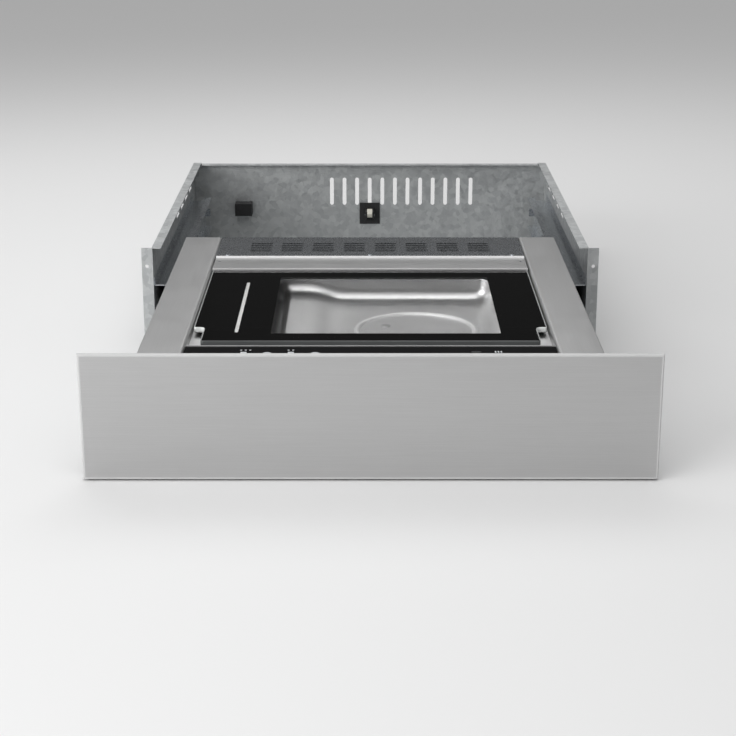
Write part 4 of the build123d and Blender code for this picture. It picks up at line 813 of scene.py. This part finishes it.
def break_edges(piece: bpy.types.Object, width_mm: float, segments: int = 2) -> None:
    """Round the sharp edges of a piece a little, as deburring does.

    Args:
        piece: Object with a mesh.
        width_mm: Width of the rounds.
        segments: Number of faces across each round.
    """
    pick_out(piece)
    bpy.ops.object.modifier_add(type="BEVEL")
    bevel = piece.modifiers[-1]
    bevel.width = width_mm * MM
    bevel.segments = segments
    bevel.limit_method = "ANGLE"
    bevel.angle_limit = math.radians(SHARP_DEG)
    bpy.ops.object.modifier_apply(modifier=bevel.name)


def copy_solid(node: str, name: str, *finishes: Finish) -> bpy.types.Object:
    """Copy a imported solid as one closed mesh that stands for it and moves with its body.

    Args:
        node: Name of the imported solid.
        name: Name of the new piece.
        finishes: Finish of each material slot, the first for the whole piece.

    Returns:
        The copy, merged, with its flat faces whole again.
    """
    piece = bpy.data.objects.new(name, frame["nodes"][node].data.copy())
    bpy.context.scene.collection.objects.link(piece)
    piece.data.materials.clear()
    for finish in finishes:
        piece.data.materials.append(made(finish))
    start_edit(piece, "VERT")
    bpy.ops.mesh.select_all(action="SELECT")
    bpy.ops.mesh.remove_doubles(threshold=MERGE_MM * MM)
    bpy.ops.mesh.customdata_custom_splitnormals_clear()
    bpy.ops.mesh.dissolve_limited(angle_limit=math.radians(FLAT_DEG))
    bpy.ops.mesh.normals_make_consistent(inside=False)
    end_edit()
    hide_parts(node)
    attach(piece, body_with(node))
    LOG.info("%s stands for %s", name, node)
    return piece


def solid_boxes(node: str) -> list[tuple[Vector, Vector]]:
    """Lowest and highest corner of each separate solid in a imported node.

    Args:
        node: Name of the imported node.

    Returns:
        Two corners for each solid, in metres.
    """
    shape = bmesh.new()
    shape.from_mesh(frame["nodes"][node].data)
    bmesh.ops.remove_doubles(shape, verts=shape.verts, dist=MERGE_MM * MM)
    seen: set[bmesh.types.BMVert] = set()
    boxes = []
    for start in shape.verts:
        if start in seen:
            continue
        seen.add(start)
        group = [start]
        for vert in group:
            for edge in vert.link_edges:
                other = edge.other_vert(vert)
                if other not in seen:
                    seen.add(other)
                    group.append(other)
        low = Vector(min(vert.co[axis] for vert in group) for axis in range(3))
        high = Vector(max(vert.co[axis] for vert in group) for axis in range(3))
        boxes.append((low, high))
    shape.free()
    return boxes


def join(pieces: list[bpy.types.Object], name: str) -> bpy.types.Object:
    """Join several meshes into one piece.

    Args:
        pieces: Objects with meshes, the first of which takes in the others.
        name: Name of the piece.

    Returns:
        The piece.
    """
    pick_out(pieces[0])
    for piece in pieces:
        piece.select_set(True)
    bpy.ops.object.join()
    pieces[0].name = name
    return pieces[0]


def copy_of(piece: bpy.types.Object) -> bpy.types.Object:
    """Copy a piece and link the copy to the scene.

    Args:
        piece: Object with a mesh.

    Returns:
        The copy, with a mesh of its own.
    """
    twin = piece.copy()
    twin.data = piece.data.copy()
    bpy.context.scene.collection.objects.link(twin)
    return twin


def settle(piece: bpy.types.Object, body: str, finish: Finish) -> None:
    """Put a new piece's place into its mesh, dress it and let it ride on its body.

    Args:
        piece: The new piece.
        body: Name of the moving body.
        finish: Finish of the whole piece.
    """
    pick_out(piece)
    bpy.ops.object.transform_apply(location=True, rotation=True, scale=True)
    piece.data.materials.clear()
    piece.data.materials.append(made(finish))
    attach(piece, body)
    LOG.info("%s rides on %s", piece.name, body)


@dataclass
class FrontPanel:
    """Steel front whose ground edge carries a painted highlight all round, as a bright line."""

    # Shares of a face's normal along Y between which it is a bevel.
    bevel_low: float = 0.25
    bevel_high: float = 0.97
    border_mm: float = 1.5
    # Share of the front's size, from its middle, beyond which a face belongs to the border.
    border_share: float = 0.45
    sharp_deg: float = 20.0

    def build(self) -> None:
        """Copy the front and paint a highlight on its bevels and on a narrow border of its face."""
        piece = copy_solid("front_panel", "front_sheet", FRONT_STEEL, EDGE_PAINTED_HIGHLIGHT)
        start_edit(piece)
        pick_faces(piece, lambda place, normal: normal.y < -self.bevel_high)
        bpy.ops.mesh.inset(thickness=self.border_mm * MM)
        end_edit()
        low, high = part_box("front_panel")
        middle = [(one + two) / 2 for one, two in zip(low, high)]
        reach = [(two - one) * self.border_share for one, two in zip(low, high)]
        # Painted highlight on the bevels and on the border of the face.
        paint(piece, 1, lambda place, normal: -self.bevel_high < normal.y < -self.bevel_low)
        paint(
            piece,
            1,
            lambda place, normal: normal.y < -self.bevel_high
            and (abs(place.x - middle[0]) > reach[0] or abs(place.z - middle[2]) > reach[2]),
        )
        smooth(piece, self.sharp_deg)


@dataclass
class SideCovers:
    """Strips beside the lid, whose bends carry a painted sheen tone."""

    # Shares of a face's normal along X between which it is a bend.
    bend_low: float = 0.2
    bend_high: float = 0.97

    def build(self) -> None:
        """Copy both strips and paint the sheen tone on their bends."""
        for side in ("left", "right"):
            piece = copy_solid(f"side_cover_{side}", f"side_strip_{side}", STRIP_STEEL, BEND_PAINTED_SHEEN)
            # Painted sheen tone on the bends.
            paint(piece, 1, self.is_bend)
            smooth(piece)

    def is_bend(self, place: Vector, normal: Vector) -> bool:
        """Whether a face belongs to the rounded bend along a strip's edge."""
        return self.bend_low < abs(normal.x) < self.bend_high and normal.z > 0


@dataclass
class LidPane:
    """Toughened pane with a ground rim; its polished sides and finger notches carry a painted highlight."""

    arris_mm: float = 0.7
    notch_mm: float = 4.0

    def build(self) -> None:
        """Copy the glass, break and grind its rim, and paint a highlight on its sides and notches."""
        piece = copy_solid("lid_glass", "lid_pane", LID_GLASS, GROUND_EDGE, RIM_PAINTED_HIGHLIGHT)
        break_edges(piece, self.arris_mm, 1)
        paint(piece, 1, lambda place, normal: abs(normal.z) < SQUARE)
        low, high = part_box("lid_glass")
        start, end = low[1] + self.notch_mm * MM, high[1] - self.notch_mm * MM
        # Painted highlight on the sides and in the notches.
        paint(piece, 2, lambda place, normal: abs(normal.z) < SQUARE and start < place.y < end)


@dataclass
class HingeBar:
    """Brushed bar over the glass's rear edge, painted sheen on its front edge and highlight on its rear
    rib.
    """

    # Depth and height of the bright front edge, and those of the rib.
    front_mm: float = 2.0
    under_mm: float = 4.6
    rib_mm: float = 3.4
    rib_height_mm: float = 1.9
    end_normal: float = 0.5
    screw_inset_mm: float = 5.5
    screw_behind_mm: float = 36.6
    screw_sink_mm: float = 2.1
    screw_radius_mm: float = 2.0
    screw_head_mm: float = 0.9

    def build(self) -> None:
        """Copy the bar and paint the sheen and the highlight on its long edges."""
        piece = copy_solid("hinge_profile", "hinge_bar", FRONT_STEEL, BEND_PAINTED_SHEEN, RIB_PAINTED_HIGHLIGHT)
        low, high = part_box("hinge_profile")
        front, rib = low[1] + self.front_mm * MM, high[1] - self.rib_mm * MM
        under, foot = high[2] - self.under_mm * MM, high[2] - self.rib_height_mm * MM
        # Painted sheen on the front edge, painted highlight on the rear rib.
        paint(
            piece,
            1,
            lambda place, normal: place.z > under and place.y < front and abs(normal.x) < self.end_normal,
        )
        paint(piece, 2, lambda place, normal: place.z > foot and place.y > rib)
        smooth(piece)
        self.clamp_screws(low, high)

    def clamp_screws(self, low: Vector, high: Vector) -> None:
        """Put one clamp screw into the recess at each end of the bar.

        Args:
            low: Lowest corner of the bar.
            high: Highest corner of the bar.
        """
        radius, head = self.screw_radius_mm * MM, self.screw_head_mm * MM
        model = CrossScrews().model(radius, head, head)
        inset = self.screw_inset_mm * MM
        model.location = (
            low[0] + inset, low[1] + self.screw_behind_mm * MM, high[2] - self.screw_sink_mm * MM
        )
        twin = copy_of(model)
        twin.location.x = high[0] - inset
        screws = join([model, twin], "hinge_clamp_screws")
        settle(screws, body_with("hinge_profile"), ZINC)
        smooth(screws)


class Sign(Enum):
    """Outlines of the plain signs printed on the touch controls."""

    ROUND = "round"
    BAR = "bar"


@dataclass
class TouchSigns:
    """Printed signs of the touch controls: level dots, key fields and short bars.

    Each sign has its outline, its place from the middle, its distance behind the front, its width and
    its depth, in millimetres. The rim is a share of the sign's smaller side and of its height.
    """

    height_mm: float = 0.05
    rim: float = 0.1
    corners: int = 32
    signs: tuple[tuple[Sign, float, float, float, float], ...] = (
        (Sign.ROUND, -135.3, 56.5, 2.2, 2.6),
        (Sign.ROUND, -130.6, 56.5, 2.2, 2.6),
        (Sign.ROUND, -125.8, 56.5, 2.2, 2.6),
        (Sign.BAR, -132.4, 48.0, 6.3, 4.6),
        (Sign.ROUND, -107.8, 44.5, 9.4, 9.4),
        (Sign.ROUND, -85.8, 56.5, 2.2, 2.6),
        (Sign.ROUND, -80.9, 56.5, 2.2, 2.6),
        (Sign.BAR, -83.1, 48.0, 6.3, 4.6),
        (Sign.ROUND, -57.7, 44.5, 9.4, 9.4),
        (Sign.BAR, 130.4, 50.5, 1.6, 5.5),
        (Sign.BAR, 133.4, 50.5, 1.6, 5.5),
        (Sign.BAR, 136.4, 50.5, 1.6, 5.5),
    )
    sensor: tuple[Sign, float, float, float, float] = (Sign.ROUND, 110.2, 50.0, 11.0, 5.6)

    def build(self) -> None:
        """Print all signs as one piece, and the dark window of the light sensor as another."""
        body = body_with("control_glass")
        settle(join([self.model(*sign) for sign in self.signs], "touch_signs"), body, SIGN_INK)
        window = self.model(*self.sensor)
        window.name = "sensor_window"
        settle(window, body, SMOKED_INK)

    def model(self, kind: Sign, x: float, behind: float, width: float, depth: float) -> bpy.types.Object:
        """Model one printed sign, a thin raised shape with a soft rim.

        Args:
            kind: Outline of the sign.
            x: Place from the middle of the drawer.
            behind: Distance behind the front.
            width: Size across the drawer.
            depth: Size from front to back.

        Returns:
            The sign as an object of its own.
        """
        height = self.height_mm * MM
        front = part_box("front_panel")[0][1]
        place = (x * MM, front + behind * MM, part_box("control_glass")[1][2] + height / 2)
        size = (width * MM, depth * MM, height)
        bpy.ops.object.select_all(action="DESELECT")
        if kind is Sign.ROUND:
            bpy.ops.mesh.primitive_cylinder_add(
                vertices=self.corners, radius=0.5, depth=1, location=place, scale=size
            )
        else:
            bpy.ops.mesh.primitive_cube_add(size=1, location=place, scale=size)
        piece = bpy.context.object
        pick_out(piece)
        bpy.ops.object.transform_apply(location=False, rotation=False, scale=True)
        start_edit(piece)
        pick_faces(piece, lambda middle, normal: normal.z > SQUARE)
        bpy.ops.mesh.inset(thickness=self.rim * min(size[:2]))
        bpy.ops.transform.translate(value=(0.0, 0.0, self.rim * height))
        end_edit()
        return piece


@dataclass
class SealingBar:
    """Aluminium sealing bar whose heating band lies under brown glass cloth."""

    edge_mm: float = 0.25
    tape_depth_mm: float = 4.2
    under_normal: float = -0.1
    end_normal: float = 0.5

    def build(self) -> None:
        """Copy the bar, break its edges and cover its top and its shoulders with the cloth."""
        piece = copy_solid("sealing_bar", "taped_sealing_bar", BAR_ALUMINIUM, HEAT_TAPE)
        break_edges(piece, self.edge_mm)
        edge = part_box("sealing_bar")[1][2] - self.tape_depth_mm * MM
        paint(
            piece,
            1,
            lambda place, normal: place.z > edge
            and normal.z > self.under_normal
            and abs(normal.y) < self.end_normal,
        )
        smooth(piece)


@dataclass
class CrossScrews:
    """Pan-head screws with a cross recess, one piece for each group of equal screws."""

    # Length and width of a groove and width of the shank, as shares of the head's width.
    recess: float = 0.56
    slot: float = 0.2
    shank_share: float = 0.44
    # Height of the dome, depth in which its edge is looked for and height of the cutter, as shares of
    # the head's height.
    dome: float = 0.42
    rim: float = 0.05
    groove: float = 1.1
    corners: int = 32
    dome_steps: int = 4
    # Turn of the first screw, and how much further each of the next ones is turned.
    turn_deg: tuple[int, int] = (17, 41)
    cover_head_mm: float = 1.6

    def build(self) -> None:
        """Model the screws of the rear cover and those of the casing."""
        self.group("cover_screws", "cover_pan_screws", 2, self.cover_head_mm * MM)
        self.group("casing_screws", "casing_pan_screws", 1, None)

    def group(self, node: str, name: str, axis: int, head: float | None) -> None:
        """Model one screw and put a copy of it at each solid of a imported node.

        Args:
            node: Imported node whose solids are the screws.
            name: Name of the new piece.
            axis: Number of the axis along which the heads look.
            head: Height of the head, or None where the whole solid is head.
        """
        boxes = solid_boxes(node)
        low, high = boxes[0]
        length = high[axis] - low[axis]
        radius = (high.x - low.x) / 2
        model = self.model(radius, head or length, length)
        facing = Vector((0.0, 0.0, 0.0))
        facing[axis] = 1.0
        turn = Vector((0.0, 0.0, 1.0)).rotation_difference(facing)
        copies = []
        for number, (low, high) in enumerate(boxes):
            twin = copy_of(model)
            twin.location = (low + high) / 2
            twin.location[axis] = high[axis]
            angle = math.radians(self.turn_deg[0] + self.turn_deg[1] * number)
            twin.rotation_mode = "QUATERNION"
            twin.rotation_quaternion = turn @ Quaternion((0.0, 0.0, 1.0), angle)
            copies.append(twin)
        bpy.data.objects.remove(model, do_unlink=True)
        piece = join(copies, name)
        settle(piece, body_with(node), ZINC)
        smooth(piece)
        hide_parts(node)

    def model(self, radius: float, head: float, length: float) -> bpy.types.Object:
        """Model one screw with the top of its domed head at the origin, axis up.

        Args:
            radius: Radius of the head.
            head: Height of the head.
            length: Length of the whole screw.

        Returns:
            The screw with a cross recess in its head.
        """
        bpy.ops.object.select_all(action="DESELECT")
        bpy.ops.mesh.primitive_cylinder_add(
            vertices=self.corners, radius=radius, depth=head, location=(0, 0, -head / 2)
        )
        piece = bpy.context.object
        pick_out(piece)
        bpy.ops.object.transform_apply(location=True, rotation=False, scale=False)
        start_edit(piece)
        if length > head:
            pick_faces(piece, lambda middle, normal: normal.z < -SQUARE)
            bpy.ops.mesh.inset(thickness=radius * (1 - self.shank_share))
            bpy.ops.mesh.extrude_region_move(TRANSFORM_OT_translate={"value": (0, 0, head - length)})
        bpy.ops.mesh.select_mode(type="EDGE")
        pick_edges(piece, lambda one, two: min(one.z, two.z) > -self.rim * head)
        bpy.ops.mesh.bevel(offset=self.dome * head, segments=self.dome_steps, profile=0.5)
        end_edit()
        for wide, deep in ((self.recess, self.slot), (self.slot, self.recess)):
            self.cut(piece, Vector((2 * wide * radius, 2 * deep * radius, self.groove * head)))
        return piece

    def cut(self, piece: bpy.types.Object, size: Vector) -> None:
        """Cut one groove of the cross recess into the head of a screw.

        Args:
            piece: The screw.
            size: Size of the groove along each axis.
        """
        bpy.ops.object.select_all(action="DESELECT")
        bpy.ops.mesh.primitive_cube_add(size=1.0, location=(0, 0, 0), scale=size)
        cutter = bpy.context.object
        pick_out(piece)
        bpy.ops.object.modifier_add(type="BOOLEAN")
        groove = piece.modifiers[-1]
        groove.object = cutter
        groove.operation = "DIFFERENCE"
        bpy.ops.object.modifier_apply(modifier=groove.name)
        bpy.data.objects.remove(cutter, do_unlink=True)


class BoardSlot(IntEnum):
    """Material slots of the power board and the components on it."""

    MASK = 0
    SLEEVE = 1
    METAL = 2
    RELAY = 3
    PLUG = 4


@dataclass
class Electrics:
    """Parts on the drawer's floor that are moulded together but not made of one stuff.

    Places on the power board are shares of its width and length.
    """

    standoff_mm: float = 8.0
    board_mm: float = 1.6
    margin_mm: float = 0.05
    foot_margin_mm: float = 0.1
    capacitor_mm: float = 8.7
    capacitors: tuple[tuple[float, float], ...] = ((0.2, 0.18), (0.42, 0.18))
    relay_end: float = 0.4
    plug_start: float = 0.8
    core_half_mm: float = 14.2
    coil_foot_mm: float = 2.1
    manifold_mm: float = 26.1
    coil_mm: float = 52.1

    def build(self) -> None:
        """Dress the power board, the transformer and the valves part by part."""
        self.power_board()
        self.transformer()
        self.valves()

    def power_board(self) -> None:
        """Give each component on the board its own finish, in the order of the slots."""
        cases = (CAPACITOR_SLEEVE, SINK_ALUMINIUM, RELAY_CASE, PLUG_NYLON)
        piece = copy_solid("power_board", "fitted_power_board", SOLDER_MASK, *cases)
        low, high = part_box("power_board")
        for face in piece.data.polygons:
            face.material_index = self.slot_of(face.center, face.normal, low, high)
        smooth(piece)

    def slot_of(self, place: Vector, normal: Vector, low: Vector, high: Vector) -> BoardSlot:
        """Tell which component a face belongs to.

        Args:
            place: Middle of the face.
            normal: Normal of the face.
            low: Lowest corner of the fitted board.
            high: Highest corner of the fitted board.

        Returns:
            The slot of that component, or of the bare board.
        """
        if place.z < low[2] + (self.standoff_mm - self.foot_margin_mm) * MM:
            return BoardSlot.METAL
        if place.z <= low[2] + (self.standoff_mm + self.board_mm + self.margin_mm) * MM:
            return BoardSlot.MASK
        width, length = high[0] - low[0], high[1] - low[1]
        x, y = place.x - low[0], place.y - low[1]
        reach = self.capacitor_mm * MM
        if any(math.hypot(x - a * width, y - b * length) < reach for a, b in self.capacitors):
            return BoardSlot.METAL if normal.z > SQUARE else BoardSlot.SLEEVE
        if y > self.plug_start * length:
            return BoardSlot.PLUG
        return BoardSlot.RELAY if x < self.relay_end * width else BoardSlot.METAL

    def transformer(self) -> None:
        """Wrap the winding of the transformer in yellow tape."""
        piece = copy_solid("transformer", "wound_transformer", CORE_STACK, COIL_TAPE, ZINC)
        low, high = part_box("transformer")
        middle = (low[1] + high[1]) / 2
        paint(piece, 1, lambda place, normal: abs(place.y - middle) > self.core_half_mm * MM)
        paint(piece, 2, lambda place, normal: place.z < low[2] + self.coil_foot_mm * MM)
        smooth(piece)

    def valves(self) -> None:
        """Give the solenoids their black coils and plated cores."""
        piece = copy_solid("valve_block", "solenoid_valves", ACETAL, COIL_CASE, ZINC)
        low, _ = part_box("valve_block")
        paint(piece, 1, lambda place, normal: place.z > low[2] + self.manifold_mm * MM)
        paint(piece, 2, lambda place, normal: place.z > low[2] + self.coil_mm * MM)
        smooth(piece)


@dataclass(frozen=True)
class SoftBox:
    """Soft studio lamp: where it hangs, where it looks and its size in metres, and its power in watts."""

    name: str
    place: tuple[float, float, float]
    aim: tuple[float, float, float]
    size: tuple[float, float]
    power: float

    def hang(self) -> None:
        """Add the lamp to the scene, turned to what it looks at."""
        lamp = bpy.data.lights.new(self.name, "AREA")
        lamp.shape = "RECTANGLE"
        lamp.size, lamp.size_y = self.size
        lamp.energy = self.power
        holder = bpy.data.objects.new(self.name, lamp)
        bpy.context.scene.collection.objects.link(holder)
        holder.location = self.place
        holder.rotation_euler = (Vector(self.aim) - Vector(self.place)).to_track_quat("-Z", "Y").to_euler()


@dataclass
class Studio:
    """Pale floor, sky, soft lamps in front, on the left and behind, and the camera."""

    camera_mm: tuple[float, float, float] = (-2.7, -2108.5, 658.5)
    pitch_deg: float = 18.0
    lens: float = 83.4
    sensor: float = 36.0
    clip_end: float = 100.0
    floor_size: float = 60.0
    floor_colour: str = "#e4e4e4"
    floor_roughness: float = 0.8
    # The light grows from the horizon's strength to the zenith's between these heights of sight.
    rise: tuple[float, float] = (0.33, 0.62)
    horizon: float = 0.038
    zenith: float = 0.62
    lamps: tuple[SoftBox, ...] = (
        SoftBox("front_high", (0.2, -1.1, 2.5), (0.0, -0.2, 0.1), (0.8, 0.6), 5.0),
        SoftBox("front", (0.0, -2.4, 1.9), (0.0, -0.2, 0.1), (2.4, 1.5), 9.0),
        SoftBox("front_left", (-2.2, -2.4, 1.2), (-0.1, -0.4, 0.1), (2.2, 1.6), 64.0),
        SoftBox("left", (-2.9, -1.0, 1.1), (0.0, -0.3, 0.1), (1.6, 1.0), 14.0),
        SoftBox("behind", (-0.4, 1.2, 1.8), (0.0, -0.2, 0.05), (2.4, 1.0), 15.0),
    )

    def build(self) -> None:
        """Build all of the studio."""
        self.add_floor()
        self.add_world()
        for lamp in self.lamps:
            lamp.hang()
        self.add_camera()

    def add_floor(self) -> None:
        """Lay a wide pale floor on the level that the casing stands on."""
        bpy.ops.object.select_all(action="DESELECT")
        bpy.ops.mesh.primitive_plane_add(size=self.floor_size, location=(0, 0, 0))
        floor = bpy.context.object
        floor.name = "studio_floor"
        material = start_material("pale studio floor")
        shader = add_node(
            material.node_tree,
            "ShaderNodeBsdfPrincipled",
            {"Base Color": linear(self.floor_colour), "Roughness": self.floor_roughness},
        )
        floor.data.materials.append(finish_material(material, shader.outputs[0]))

    def add_world(self) -> None:
        """Fill the room with soft light that comes from above more than from the horizon."""
        world = bpy.data.worlds.new("studio")
        bpy.context.scene.world = world
        world.use_nodes = True
        tree = world.node_tree
        tree.nodes.clear()
        sight = add_node(tree, "ShaderNodeTexCoord", {}).outputs["Generated"]
        height = add_node(tree, "ShaderNodeSeparateXYZ", {"Vector": sight}).outputs["Z"]
        level = add_node(
            tree,
            "ShaderNodeMapRange",
            {
                "Value": height,
                "From Min": self.rise[0],
                "From Max": self.rise[1],
                "To Min": self.horizon,
                "To Max": self.zenith,
            },
            interpolation_type="SMOOTHSTEP",
        )
        sky = add_node(
            tree, "ShaderNodeBackground", {"Color": linear("#ffffff"), "Strength": level.outputs[0]}
        )
        add_node(tree, "ShaderNodeOutputWorld", {"Surface": sky.outputs[0]})

    def add_camera(self) -> None:
        """Set the camera where the photograph was taken from."""
        camera = bpy.data.cameras.new("camera")
        camera.lens = self.lens
        camera.sensor_width = self.sensor
        camera.clip_end = self.clip_end
        holder = bpy.data.objects.new("camera", camera)
        bpy.context.scene.collection.objects.link(holder)
        holder.location = tuple(size * MM for size in self.camera_mm)
        holder.rotation_euler = (math.radians(90 - self.pitch_deg), 0.0, 0.0)
        bpy.context.scene.camera = holder


def corners(low: Vector, high: Vector) -> list[list[float]]:
    """Two corners as plain lists of numbers."""
    return [list(low), list(high)]


def main() -> None:
    """Dress the drawer and set it in the studio."""
    logging.basicConfig(level=logging.INFO, format="%(message)s")
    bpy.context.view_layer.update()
    dress_nodes()
    assemblies = (FrontPanel, SideCovers, LidPane, HingeBar, TouchSigns, SealingBar, CrossScrews, Electrics)
    for assembly in (*assemblies, Studio):
        assembly().build()
        LOG.info("%s is built", assembly.__name__)
    bpy.context.scene.view_settings.view_transform = "Standard"


if __name__ == "__main__":
    main()
